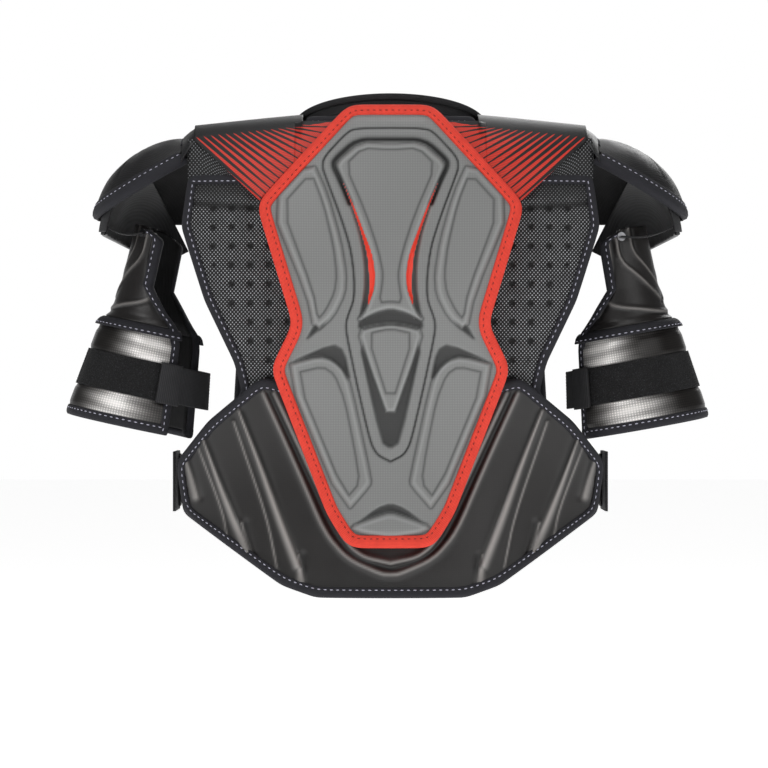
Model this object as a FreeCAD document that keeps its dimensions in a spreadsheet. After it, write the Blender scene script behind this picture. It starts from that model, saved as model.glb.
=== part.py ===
"""Hockey shoulder pads, as a parametric FreeCAD document.

Units are millimetres. +Z is up, +Y is the way the wearer faces, so the back is towards -Y.
The origin is where the wearer's shoulders carry the pads: midway between the shoulder arches,
at the height of the underside of their crests near the neck.

The vest is built in layers. A "wall" is a doubly curved slab that follows the back or the
chest, and each panel is the wall at that panel's depth, trimmed to its outline. The arm guards
are turned about the arm's own axis. Everything that moves under a shoulder cap is concentric
with the cap, so that it clears the cap at every pose.
"""

import FreeCAD, Part
import math
import os
import Sketcher

Vector = FreeCAD.Vector
Rotation = FreeCAD.Rotation
Placement = FreeCAD.Placement

CELLS = {
    # Layers of the vest, as depths out from the wearer's side of the wall.
    "liner_thickness": 8.0,
    "layer_gap": 0.3,
    "guard_thickness": 9.0,
    "insert_thickness": 2.0,
    "plate_thickness": 8.0,
    "yoke_thickness": 3.6,
    "yoke_clearance": 3.0,
    "pad_thickness": 14.0,
    "binding_width": 9.0,
    "plate_binding_width": 11.0,
    "part_gap": 1.0,
    # Back liner outline, right half: distance from the centre plane, and height.
    "tab_half": 77.0, "tab_top_z": 15.0,
    "shoulder_foot_z": -38.0,
    "liner_shoulder_half": 184.0,
    "liner_wide_half": 190.0, "liner_wide_z": -84.0,
    "liner_side_half": 168.0, "liner_side_z": -152.0,
    "liner_lower_half": 141.0, "liner_lower_z": -208.0,
    "waist_half": 134.0, "waist_z": -236.0,
    "wing_top_half": 166.0, "wing_top_z": -262.0,
    "wing_half": 197.0, "wing_z": -300.0,
    "wing_low_half": 190.0, "wing_low_z": -346.0,
    "hem_side_half": 98.0, "hem_side_z": -409.0,
    "hem_half": 68.0, "hem_z": -419.0,
    "outline_radius": 14.0,
    # Top edge of the lower back guard.
    "guard_peak_half": 117.0, "guard_peak_z": -221.0,
    "guard_inner_half": 96.0, "guard_inner_z": -229.0,
    # Spine plate outline, right half.
    "plate_top_half": 38.0, "plate_top_z": 24.0,
    "plate_shoulder_half": 120.0, "plate_shoulder_z": -66.0,
    "plate_narrow_half": 87.0, "plate_narrow_z": -174.0,
    "plate_flare_half": 107.0, "plate_flare_z": -214.0,
    "plate_taper_half": 57.0, "plate_taper_z": -343.0,
    "plate_base_half": 38.0, "plate_base_z": -373.0,
    "plate_corner_extra": 3.0,
    "insert_margin": 3.0,
    # Shoulder arches and the striped yokes over them.
    "arch_inner_half": 78.5, "arch_outer_half": 182.0,
    "arch_foot_thickness": 7.5, "arch_crest_thickness": 14.0,
    "arch_crest_inner_z": 0.0, "arch_crest_outer_z": -10.0,
    "yoke_outer_half": 180.5, "yoke_corner_z": -4.0,
    "yoke_tip_half": 118.0, "yoke_tip_z": -63.0,
    # Collar.
    "neck_radius": 90.0, "neck_y": 15.5,
    "collar_radius": 89.0, "collar_thickness": 7.0,
    "collar_bottom_z": -12.0, "collar_back_z": 37.0, "collar_tilt": 14.0,
    "collar_front_y": 32.0, "collar_binding_height": 6.0,
    # Chest outline, right half.
    "chest_top_half": 150.0, "chest_top_z": -39.5, "chest_scoop_half": 62.0,
    "scoop_half": 36.0, "scoop_z": -66.0,
    "chest_side_half": 140.0, "chest_side_z": -100.0,
    "chest_waist_half": 148.0, "chest_waist_z": -255.0,
    "flank_half": 186.0, "flank_top_z": -288.0, "flank_low_z": -348.0,
    "chest_hem_half": 140.0, "chest_hem_z": -368.0,
    # Front plates.
    "sternum_top_half": 30.0, "sternum_top_z": -82.0,
    "sternum_wide_half": 46.0, "sternum_wide_z": -120.0,
    "sternum_low_half": 30.0, "sternum_low_z": -222.0,
    "sternum_thickness": 10.0, "sternum_binding_width": 7.0,
    "chest_pad_inner_half": 54.0, "chest_pad_outer_half": 132.0,
    "chest_pad_top_z": -62.0, "chest_pad_low_z": -196.0, "chest_pad_thickness": 12.0,
    "belly_top_half": 104.0, "belly_top_z": -234.0,
    "belly_low_half": 128.0, "belly_low_z": -352.0, "belly_thickness": 10.0,
    # Side straps.
    "strap_clearance": 1.0, "strap_thickness": 2.4, "strap_back_y": -30.0,
    "strap_front_y": 62.0, "strap_low_z": -345.0, "strap_height": 55.0,
    "hook_thickness": 1.2, "hook_length": 40.0, "bolster_depth": 38.0,
    "bolster_inner_half": 150.0,
    # Shoulder caps: concentric shells about the shoulder point.
    "shoulder_half": 184.0, "shoulder_z": -96.0,
    "cap_radius": 97.0, "cap_cover_thickness": 4.5, "cap_shell_thickness": 2.2,
    "cap_liner_thickness": 3.2, "cap_inner_half": 186.0, "cap_far_half": 300.0,
    "cap_rim_inner_z": -24.0, "cap_rim_far_z": -89.0, "cap_binding_height": 13.0,
    "cap_skirt_z": -76.0,
    "concentric_gap": 0.6,
    "hanger_thickness": 1.8, "hanger_width": 28.0, "hanger_y": -27.0,
    "rivet_radius": 4.0, "rivet_height": 2.4, "rivet_angle": 58.0, "rivet_drop": 8.0,
    "flap_thickness": 5.0, "flap_back_y": -8.0, "flap_top_reach": 42.0,
    # Arm guards, turned about the arm's axis. Heights are down that axis from its top.
    "arm_axis_half": 202.0,
    "left_splay": 12.0, "right_splay": 10.0, "left_twist": 12.0, "right_twist": -16.0,
    "guard_top": 10.0, "guard_neck_radius": 37.0, "guard_mid": -45.0,
    "guard_mid_radius": 39.0, "guard_end": -79.0, "guard_end_radius": 43.5,
    "guard_wall": 5.0, "arm_liner_wall": 4.0,
    "cuff_top": -80.0, "cuff_top_radius": 49.0, "cuff_end": -168.0, "cuff_end_radius": 62.3,
    "cuff_wall": 5.0, "cuff_gap_angle": 44.0, "cuff_hem_height": 7.0,
    "band_end": -92.0, "band_thickness": 2.2,
    "loop_top": -111.0, "loop_end": -147.0, "loop_thickness": 1.6,
    "bicep_strap_start": 118.0, "bicep_strap_stop": 260.0, "bicep_strap_thickness": 2.0,
    "bicep_hook_start": 226.0, "bicep_hook_thickness": 1.2,
}

doc = FreeCAD.newDocument("shoulder_pads")
sheet = doc.addObject("Spreadsheet::Sheet", "sizes")
for row, (alias, number) in enumerate(CELLS.items(), start=1):
    sheet.set(f"A{row}", alias)
    sheet.set(f"B{row}", str(number))
    sheet.setAlias(f"B{row}", alias)
doc.recompute()

nodes = []


def size(alias):
    """The number in the sheet's cell of that name."""
    return float(sheet.get(alias))


def formula(text):
    """An expression with every cell name in it pointing at the sheet."""
    words = text.replace("(", " ( ").replace(")", " ) ").split()
    return " ".join(f"<<sizes>>.{word}" if word in CELLS else word for word in words)


def bound(thing, **properties):
    """Binds the thing's properties to expressions of cells, and returns it."""
    for name, text in properties.items():
        thing.setExpression(name, formula(text))
    return thing


def node(thing, label):
    """Marks the thing as a sub-part with that label."""
    thing.Label = label
    nodes.append(thing)
    return thing


def signed(text, side):
    """The expression, mirrored to the left half when side is -1."""
    return text if side > 0 else f"-1 * ( {text} )"


def plane_of(body, role):
    """The origin plane of the body with that role."""
    return next(o for o in body.Origin.OriginFeatures if o.Role == role)


def polygon(body, role, corners):
    """A sketch of a closed polygon whose corners are bound to pairs of expressions."""
    sketch = body.newObject("Sketcher::SketchObject", body.Name + "_sketch")
    sketch.AttachmentSupport = (plane_of(body, role), "")
    sketch.MapMode = "FlatFace"
    count = len(corners)
    ring = [Vector(math.cos(math.tau * i / count), math.sin(math.tau * i / count), 0)
            for i in range(count)]
    for i in range(count):
        sketch.addGeometry(Part.LineSegment(ring[i], ring[(i + 1) % count]))
    for i in range(count):
        sketch.addConstraint(Sketcher.Constraint("Coincident", i, 2, (i + 1) % count, 1))
    for i, (across, up) in enumerate(corners):
        for kind, text in (("DistanceX", across), ("DistanceY", up)):
            number = sketch.addConstraint(Sketcher.Constraint(kind, -1, 1, i, 1, 1.0))
            sketch.setExpression(f"Constraints[{number}]", formula(text))
    return sketch


def prism(name, corners, length=1000, role="XZ_Plane", radius=None):
    """A straight prism through the polygon, centred on its plane, with its long edges rounded."""
    body = doc.addObject("PartDesign::Body", name)
    sketch = polygon(body, role, corners)
    pad = body.newObject("PartDesign::Pad", name + "_pad")
    pad.Profile = sketch
    pad.Length = length
    pad.Midplane = True
    if radius:
        doc.recompute()
        along = Vector(0, 1, 0) if role == "XZ_Plane" else Vector(0, 0, 1)
        edges = [f"Edge{i + 1}" for i, edge in enumerate(pad.Shape.Edges)
                 if abs(edge.tangentAt(edge.FirstParameter).dot(along)) > 0.99]
        fillet = body.newObject("PartDesign::Fillet", name + "_rounding")
        fillet.Base = (pad, edges)
        bound(fillet, Radius=radius)
        body.Tip = fillet
    return body


def mirrored_corners(right_half):
    """The corners of a symmetrical outline, from those of its right half, top to bottom."""
    left_half = [(signed(across, -1), up) for across, up in reversed(right_half)]
    return right_half + left_half


def inset(source, name, distance):
    """The prism moved in (or out, if the distance is negative) by an expression."""
    return bound(make("Part::Offset", name, Source=source, Join=0), Value=f"-1 * ( {distance} )")


def make(kind, name, **properties):
    """A document object of that kind with those properties."""
    thing = doc.addObject(kind, name)
    for key, value in properties.items():
        setattr(thing, key, value)
    return thing


def cut(name, base, tool):
    """The base with the tool taken away."""
    return make("Part::Cut", name, Base=base, Tool=tool)


def common(name, base, tool):
    """What the base and the tool share."""
    return make("Part::Common", name, Base=base, Tool=tool)


def box(name, low, high):
    """An upright box from its lowest to its highest corner, each three expressions."""
    block = bound(doc.addObject("Part::Box", name),
                  Length=f"( {high[0]} ) - ( {low[0]} )",
                  Width=f"( {high[1]} ) - ( {low[1]} )",
                  Height=f"( {high[2]} ) - ( {low[2]} )")
    block.setExpression(".Placement.Base.x", formula(low[0]))
    block.setExpression(".Placement.Base.y", formula(low[1]))
    block.setExpression(".Placement.Base.z", formula(low[2]))
    return block


# --- Walls -----------------------------------------------------------------------------------

# Height, depth out from the frontal plane, and radius of the wall's section at that height.
BACK_LEVELS = [(50, 47, 300), (0, 84, 360), (-70, 106, 410), (-150, 114, 400),
               (-230, 106, 330), (-320, 104, 270), (-440, 113, 250)]
CHEST_LEVELS = [(10, 62, 300), (-60, 88, 325), (-140, 108, 310), (-220, 108, 280),
                (-330, 100, 250), (-400, 96, 250)]
WALL_HALF = 210.0


def wall(facing, levels, inner, outer):
    """The slab between two depths of the back wall (facing -1) or the chest wall (+1)."""
    sections = []
    for height, depth, radius in levels:
        def point(across, out):
            sag = radius - math.sqrt(radius ** 2 - across ** 2)
            return Vector(across, facing * (depth - sag + out), height)

        near = Part.Arc(point(-WALL_HALF, inner), point(0, inner), point(WALL_HALF, inner))
        far = Part.Arc(point(WALL_HALF, outer), point(0, outer), point(-WALL_HALF, outer))
        ends = [Part.LineSegment(point(WALL_HALF, inner), point(WALL_HALF, outer)),
                Part.LineSegment(point(-WALL_HALF, outer), point(-WALL_HALF, inner))]
        sections.append(Part.Wire([near.toShape(), ends[0].toShape(),
                                   far.toShape(), ends[1].toShape()]))
    return Part.makeLoft(sections, True, False)


def wall_part(name, facing, inner, outer):
    """A wall as a document object."""
    levels = BACK_LEVELS if facing < 0 else CHEST_LEVELS
    return make("Part::Feature", name, Shape=wall(facing, levels, inner, outer))


def depth_at(levels, across, height):
    """Depth of the wall's inner face, straight between the levels around that height."""
    for (top, depth_a, radius_a), (low, depth_b, radius_b) in zip(levels, levels[1:]):
        if low <= height <= top:
            share = (top - height) / (top - low)
            radius = radius_a + share * (radius_b - radius_a)
            depth = depth_a + share * (depth_b - depth_a)
            return depth - radius + math.sqrt(radius ** 2 - across ** 2)
    raise ValueError(f"no wall at height {height}")


gap = size("layer_gap")
liner_out = size("liner_thickness")
guard_in = liner_out + gap
guard_out = guard_in + size("guard_thickness")
insert_in = guard_out + gap
insert_out = insert_in + size("insert_thickness")
plate_in = insert_out + gap
plate_out = plate_in + size("plate_thickness")

# --- Back ------------------------------------------------------------------------------------

liner_corners = mirrored_corners([
    ("tab_half", "tab_top_z"), ("tab_half", "shoulder_foot_z"),
    ("liner_shoulder_half", "shoulder_foot_z"), ("liner_wide_half", "liner_wide_z"),
    ("liner_side_half", "liner_side_z"), ("liner_lower_half", "liner_lower_z"),
    ("waist_half", "waist_z"), ("wing_top_half", "wing_top_z"), ("wing_half", "wing_z"),
    ("wing_low_half", "wing_low_z"), ("hem_side_half", "hem_side_z"), ("hem_half", "hem_z")])
liner_prism = prism("liner_outline", liner_corners)
liner_inner = inset(liner_prism, "liner_outline_inset", "binding_width")
neck = bound(make("Part::Cylinder", "neck_hole"), Radius="neck_radius - layer_gap", Height="400")
neck.setExpression(".Placement.Base.y", formula("neck_y"))
neck.setExpression(".Placement.Base.z", "-200")

liner_wall = wall_part("liner_wall", -1, 0, liner_out)
liner_whole = cut("liner_whole", common("liner_blank", liner_wall, liner_prism), neck)
node(common("liner_core", liner_whole, liner_inner), "back_liner")
node(cut("liner_rim", liner_whole, liner_inner), "back_liner_binding")

plate_corners = mirrored_corners([
    ("plate_top_half", "plate_top_z"), ("plate_shoulder_half", "plate_shoulder_z"),
    ("plate_narrow_half", "plate_narrow_z"), ("plate_flare_half", "plate_flare_z"),
    ("plate_taper_half", "plate_taper_z"), ("plate_base_half", "plate_base_z")])
plate_prism = prism("plate_outline", plate_corners,
                    radius="plate_binding_width + plate_corner_extra")
plate_inner = inset(plate_prism, "plate_outline_inset", "plate_binding_width")
plate_wall = wall_part("plate_wall", -1, plate_in, plate_out)
node(common("plate_core", plate_wall, plate_inner), "spine_plate")
binding_wall = wall_part("plate_binding_wall", -1, insert_in, plate_out)
node(cut("plate_rim", common("plate_rim_blank", binding_wall, plate_prism), plate_inner),
     "spine_plate_binding")
insert_prism = inset(prism("insert_corners", plate_corners), "insert_outline",
                     "plate_binding_width + insert_margin")
insert_wall = wall_part("insert_wall", -1, insert_in, insert_out)
node(common("insert_core", insert_wall, insert_prism), "spine_insert")

guard_corners = mirrored_corners([
    ("guard_inner_half", "guard_inner_z"), ("guard_peak_half", "guard_peak_z"),
    ("waist_half", "waist_z"), ("wing_top_half", "wing_top_z"), ("wing_half", "wing_z"),
    ("wing_low_half", "wing_low_z"), ("hem_side_half", "hem_side_z"), ("hem_half", "hem_z")])
guard_prism = prism("guard_outline", guard_corners)
guard_inner = inset(guard_prism, "guard_outline_inset", "binding_width")
guard_wall = wall_part("guard_wall", -1, guard_in, guard_out)
guard_whole = common("guard_whole", guard_wall, guard_prism)
node(common("guard_core", guard_whole, guard_inner), "lower_back_guard")
node(cut("guard_rim", guard_whole, guard_inner), "lower_back_binding")

core_prism = cut("core_outline", insert_prism, inset(guard_prism, "core_room", "-1 * part_gap"))
core_wall = wall_part("core_wall", -1, guard_in, guard_out)
node(common("core_core", core_wall, core_prism), "spine_foam_core")

# --- Shoulder arches, yokes and collar ----------------------------------------------------------


def arch(side, foot, middle, crest, back_foot_z):
    """The solid over one shoulder between two offsets, each (inner, outer), from the wearer."""
    inner_half, outer_half = size("arch_inner_half"), size("arch_outer_half")
    foot_z = size("shoulder_foot_z") + size("part_gap")
    sections = []
    for share in (0.0, 0.33, 0.67, 1.0):
        across = inner_half + share * (outer_half - inner_half)
        top = size("arch_crest_inner_z") * (1 - share) + size("arch_crest_outer_z") * share
        back = -depth_at(BACK_LEVELS, across, foot_z)
        front = depth_at(CHEST_LEVELS, across, foot_z)
        centre = (back + front) / 2
        bend_z = foot_z + 0.62 * (top - foot_z)

        def curve(k):
            diagonal = middle[k] * math.sqrt(0.5)
            points = [(back - foot[k], foot_z),
                      (centre + 0.8 * (back - centre) - diagonal, bend_z + diagonal),
                      (centre, top + crest[k]),
                      (centre + 0.8 * (front - centre) + diagonal, bend_z + diagonal),
                      (front + foot[k], foot_z)]
            if back_foot_z < foot_z:
                low = -depth_at(BACK_LEVELS, across, back_foot_z)
                points.insert(0, (low - foot[k], back_foot_z))
            line = Part.BSplineCurve()
            line.interpolate([Vector(side * across, y, z) for y, z in points])
            return line.toShape(), points

        under, under_points = curve(0)
        over, over_points = curve(1)
        ends = [Part.LineSegment(Vector(side * across, *under_points[i]),
                                 Vector(side * across, *over_points[i])).toShape()
                for i in (-1, 0)]
        sections.append(Part.Wire([under, ends[0], over, ends[1]]))
    return Part.makeLoft(sections, True, False)


foot_t, crest_t = size("arch_foot_thickness"), size("arch_crest_thickness")
middle_t = (foot_t + crest_t) / 2
yoke_t = size("yoke_thickness")
yoke_base = guard_in - foot_t + size("yoke_clearance")
plate_room = inset(plate_prism, "plate_room", "-1 * part_gap")
for side, word in ((-1, "left"), (1, "right")):
    arch_band = make("Part::Feature", f"arch_band_{word}",
                     Shape=arch(side, (0, foot_t), (0, middle_t), (0, crest_t), 0))
    node(cut(f"arch_{word}", arch_band, neck), f"shoulder_arch_{word}")
    under = [t + yoke_base for t in (foot_t, middle_t, crest_t)]
    yoke_band = make("Part::Feature", f"yoke_band_{word}",
                     Shape=arch(side, *((t, t + yoke_t) for t in under), size("yoke_tip_z")))
    yoke_prism = prism(f"yoke_outline_{word}", [
        (signed("arch_inner_half", side), "60"), (signed("yoke_outer_half", side), "60"),
        (signed("yoke_outer_half", side), "yoke_corner_z"),
        (signed("yoke_tip_half", side), "yoke_tip_z"),
        (signed("arch_inner_half", side), "yoke_tip_z")])
    yoke_blank = common(f"yoke_blank_{word}", yoke_band, yoke_prism)
    yoke_clear = cut(f"yoke_clear_{word}", yoke_blank, plate_room)
    node(cut(f"yoke_{word}", yoke_clear, neck), f"yoke_{word}")


def tilted_slab(name, below, thickness):
    """A big block whose top is a given depth below the collar's sloping top edge."""
    block = bound(doc.addObject("Part::Box", name), Length="400", Width="400", Height=thickness)
    tilt = math.radians(size("collar_tilt"))
    back = size("neck_y") - size("collar_radius")
    height = block.Height.Value
    doc.recompute()
    height = block.Height.Value
    turn = Rotation(Vector(1, 0, 0), -math.degrees(tilt))
    corner = turn.multVec(Vector(-200, -200, -height - below))
    block.Placement = Placement(Vector(0, back, size("collar_back_z")) + corner, turn)
    return block


def ring(name, outward, inward):
    """The collar's ring, grown by an outward and an inward margin."""
    shells = []
    for part, radius in (("outside", f"collar_radius + {outward}"),
                         ("inside", f"collar_radius - collar_thickness - {inward}")):
        shell = bound(doc.addObject("Part::Cylinder", f"{name}_{part}"), Radius=radius,
                      Height="120")
        shell.setExpression(".Placement.Base.y", formula("neck_y"))
        shell.setExpression(".Placement.Base.z", formula("collar_bottom_z"))
        shells.append(shell)
    return cut(name, *shells)


collar_back = box("collar_back_half", ("-200", "-200", "-100"), ("200", "collar_front_y", "100"))
binding_height = size("collar_binding_height")
collar_band = common("collar_band", ring("collar_ring", "0", "0"), collar_back)
node(common("collar_body", collar_band, tilted_slab("collar_slab", binding_height, "300")),
     "collar")
rim_band = common("collar_rim_band", ring("collar_rim_ring", "0.5", "1.0"), collar_back)
node(common("collar_rim", rim_band, tilted_slab("collar_rim_slab", 0, "collar_binding_height")),
     "collar_binding")

# --- Front -----------------------------------------------------------------------------------

chest_corners = mirrored_corners([
    ("scoop_half", "scoop_z"), ("chest_scoop_half", "chest_top_z"),
    ("chest_top_half", "chest_top_z"), ("chest_side_half", "chest_side_z"),
    ("chest_waist_half", "chest_waist_z"), ("flank_half", "flank_top_z"),
    ("flank_half", "flank_low_z"), ("chest_hem_half", "chest_hem_z")])
chest_prism = prism("chest_outline", chest_corners)
chest_inner = inset(chest_prism, "chest_outline_inset", "binding_width")
chest_whole = common("chest_whole", wall_part("chest_wall", 1, 0, liner_out), chest_prism)
node(common("chest_core", chest_whole, chest_inner), "front_liner")
node(cut("chest_rim", chest_whole, chest_inner), "front_liner_binding")

sternum_prism = prism("sternum_outline", mirrored_corners([
    ("sternum_top_half", "sternum_top_z"), ("sternum_wide_half", "sternum_wide_z"),
    ("sternum_low_half", "sternum_low_z")]), radius="sternum_binding_width + plate_corner_extra")
sternum_inner = inset(sternum_prism, "sternum_inset", "sternum_binding_width")
sternum_wall = wall_part("sternum_wall", 1, guard_in, guard_in + size("sternum_thickness"))
sternum_whole = common("sternum_whole", sternum_wall, sternum_prism)
node(common("sternum_core", sternum_whole, sternum_inner), "sternum_plate")
node(cut("sternum_rim", sternum_whole, sternum_inner), "sternum_binding")

chest_pad_wall = wall_part("chest_pad_wall", 1, guard_in, guard_in + size("chest_pad_thickness"))
for side, word in ((-1, "left"), (1, "right")):
    pad_prism = prism(f"chest_pad_outline_{word}", [
        (signed("chest_pad_inner_half", side), "chest_pad_top_z"),
        (signed("chest_pad_outer_half - 6", side), "chest_pad_top_z"),
        (signed("chest_pad_outer_half", side), "chest_pad_low_z + 40"),
        (signed("chest_pad_outer_half - 20", side), "chest_pad_low_z"),
        (signed("chest_pad_inner_half", side), "chest_pad_low_z")], radius="sternum_binding_width + plate_corner_extra")
    node(common(f"chest_pad_body_{word}", chest_pad_wall, pad_prism), f"chest_pad_{word}")

belly_prism = prism("belly_outline", mirrored_corners([
    ("belly_top_half", "belly_top_z"), ("belly_low_half", "belly_low_z + 34"),
    ("belly_low_half - 30", "belly_low_z")]), radius="sternum_binding_width + plate_corner_extra")
belly_inner = inset(belly_prism, "belly_inset", "sternum_binding_width")
belly_wall = wall_part("belly_wall", 1, guard_in, guard_in + size("belly_thickness"))
belly_whole = common("belly_whole", belly_wall, belly_prism)
node(common("belly_core", belly_whole, belly_inner), "belly_guard")
node(cut("belly_rim", belly_whole, belly_inner), "belly_guard_binding")

# --- Side straps -------------------------------------------------------------------------------

flank = wall_part("flank_room", 1, -120, guard_in)
strap_high = "strap_low_z + strap_height"
for side, word in ((-1, "left"), (1, "right")):
    def slab(name, near, far, back, front, low, high):
        """A block between two distances from the centre plane, on this side."""
        first, last = (near, far) if side > 0 else (signed(far, -1), signed(near, -1))
        return box(name, (first, back, low), (last, front, high))

    strap_near = "wing_half + strap_clearance"
    hook_near = f"{strap_near} - layer_gap - hook_thickness"
    node(slab(f"strap_{word}", strap_near, f"{strap_near} + strap_thickness",
              "strap_back_y", "strap_front_y", "strap_low_z", strap_high), f"side_strap_{word}")
    node(slab(f"hook_{word}", hook_near, f"{strap_near} - layer_gap",
              "strap_front_y - hook_length", "strap_front_y - 3", "strap_low_z + 3",
              f"{strap_high} - 3"), f"side_strap_hook_{word}")
    bolster = slab(f"bolster_block_{word}", "bolster_inner_half", f"{hook_near} - layer_gap",
                   "strap_front_y - bolster_depth", "strap_front_y - 2", "strap_low_z + 2",
                   f"{strap_high} - 2")
    node(cut(f"bolster_{word}", bolster, flank), f"side_bolster_{word}")

# --- Shoulder caps, hangers and flaps -----------------------------------------------------------


def ball_shell(name, side, outer, inner):
    """A spherical shell about the shoulder point."""
    balls = []
    for part, radius in (("outside", outer), ("inside", inner)):
        ball = bound(doc.addObject("Part::Sphere", f"{name}_{part}"), Radius=radius)
        ball.setExpression(".Placement.Base.x", formula(signed("shoulder_half", side)))
        ball.setExpression(".Placement.Base.z", formula("shoulder_z"))
        balls.append(ball)
    return cut(name, *balls)


cover_in = "cap_radius - cap_cover_thickness"
shell_out = f"{cover_in} - concentric_gap / 2"
shell_in = f"{shell_out} - cap_shell_thickness"
cap_liner_out = f"{shell_in} - concentric_gap / 2"
cap_liner_in = f"{cap_liner_out} - cap_liner_thickness"
hanger_out = f"{cap_liner_in} - concentric_gap"
hanger_in = f"{hanger_out} - hanger_thickness"
flap_out = f"{hanger_in} - concentric_gap"
flap_in = f"{flap_out} - flap_thickness"
for side, word in ((-1, "left"), (1, "right")):
    near = signed("cap_inner_half", side)
    far = signed("cap_far_half", side)

    def dome(name, lift, low=None):
        """The prism above the cap's sloping rim, raised by an expression, up to the crown."""
        top = low or "shoulder_z + cap_radius + 20"
        return prism(f"{name}_{word}", [
            (near, f"cap_rim_inner_z + {lift}"), (near, top), (far, top),
            (far, f"cap_rim_far_z + {lift}")])

    node(common(f"cover_{word}", ball_shell(f"cover_ball_{word}", side, "cap_radius", cover_in),
                dome("cover_room", "cap_binding_height + layer_gap")), f"cap_cover_{word}")
    node(common(f"cap_rim_{word}", ball_shell(f"rim_ball_{word}", side, "cap_radius + 0.5",
                                              cover_in),
                cut(f"rim_room_{word}", dome("rim_over", "0"), dome("rim_under",
                    "cap_binding_height"))), f"cap_binding_{word}")
    node(common(f"shell_{word}", ball_shell(f"shell_ball_{word}", side, shell_out, shell_in),
                dome("shell_room", "2")), f"cap_shell_{word}")
    skirt_prism = prism(f"skirt_room_{word}", [
        (near, "cap_skirt_z"), (near, "shoulder_z + cap_radius + 20"),
        (far, "shoulder_z + cap_radius + 20"), (far, "cap_skirt_z")])
    back_low = prism(f"skirt_back_{word}", [
        (near, "cap_rim_inner_z"), (far, "cap_rim_far_z"), (far, "cap_rim_far_z - 200"),
        (near, "cap_rim_far_z - 200")], length=400)
    back_low.Placement = Placement(Vector(0, -200, 0), Rotation())
    cap_liner_ball = ball_shell(f"cap_liner_ball_{word}", side, cap_liner_out, cap_liner_in)
    node(cut(f"cap_liner_body_{word}", common(f"cap_liner_blank_{word}", cap_liner_ball,
                                              skirt_prism), back_low), f"cap_liner_{word}")

    hanger_prism = prism(f"hanger_room_{word}", [
        (signed("cap_inner_half + 6", side), "cap_rim_inner_z + 6"),
        (signed("cap_inner_half + 6", side), "20"), (far, "20"),
        (far, "cap_skirt_z - 16"), (signed("cap_inner_half + 46", side), "cap_skirt_z - 16")])
    hanger_slice = box(f"hanger_slice_{word}",
                       ("-400", "hanger_y - hanger_width / 2", "-300"),
                       ("400", "hanger_y + hanger_width / 2", "100"))
    hanger_ball = ball_shell(f"hanger_ball_{word}", side, hanger_out, hanger_in)
    node(common(f"hanger_{word}", common(f"hanger_blank_{word}", hanger_ball, hanger_prism),
                hanger_slice), f"arm_hanger_{word}")

    flap_prism = prism(f"flap_room_{word}", [
        (signed("shoulder_half + 8", side), "shoulder_z - 6"),
        (signed("shoulder_half + flap_top_reach", side), "shoulder_z + 62"),
        (far, "shoulder_z + 62"), (far, "shoulder_z + 22"),
        (signed("shoulder_half + 84", side), "shoulder_z + 6"),
        (signed("shoulder_half + 57", side), "shoulder_z - 31")])
    flap_front = box(f"flap_front_{word}", ("-400", "flap_back_y", "-300"), ("400", "400", "100"))
    flap_ball = ball_shell(f"flap_ball_{word}", side, flap_out, flap_in)
    node(common(f"flap_{word}", common(f"flap_blank_{word}", flap_ball, flap_prism), flap_front),
         f"deltoid_flap_{word}")

# --- Arm guards --------------------------------------------------------------------------------


def turned(name, corners):
    """A body turned about the Z axis from a profile of (radius, height) expressions."""
    body = doc.addObject("PartDesign::Body", name)
    sketch = polygon(body, "XZ_Plane", corners)
    spin = body.newObject("PartDesign::Revolution", name + "_turn")
    spin.Profile = sketch
    spin.ReferenceAxis = (sketch, ["V_Axis"])
    spin.Angle = 360
    return body


def cuff_radius(height):
    """The cuff's outer radius at a height, as an expression."""
    slope = "( cuff_end_radius - cuff_top_radius ) / ( cuff_end - cuff_top )"
    return f"cuff_top_radius + ( {height} - cuff_top ) * {slope}"


def cuff_layer(name, top, end, inner, outer):
    """A conical band that follows the cuff between two heights and two offsets from it."""
    return turned(name, [(f"{cuff_radius(top)} + {outer}", top),
                         (f"{cuff_radius(end)} + {outer}", end),
                         (f"{cuff_radius(end)} + {inner}", end),
                         (f"{cuff_radius(top)} + {inner}", top)])


def sector(name, side, start, stop, reach=200):
    """A prism over the angles from start to stop, from the outer side (0) round by the back."""
    def at(angle, radius):
        turn = math.radians(angle)
        return (str(side * radius * math.cos(turn)), str(-radius * math.sin(turn)))

    middle = [start + share * (stop - start) for share in (0.25, 0.5, 0.75)]
    return prism(name, [("0", "0"), at(start, reach), *(at(a, 1.5 * reach) for a in middle),
                        at(stop, reach)], role="XY_Plane")


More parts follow.
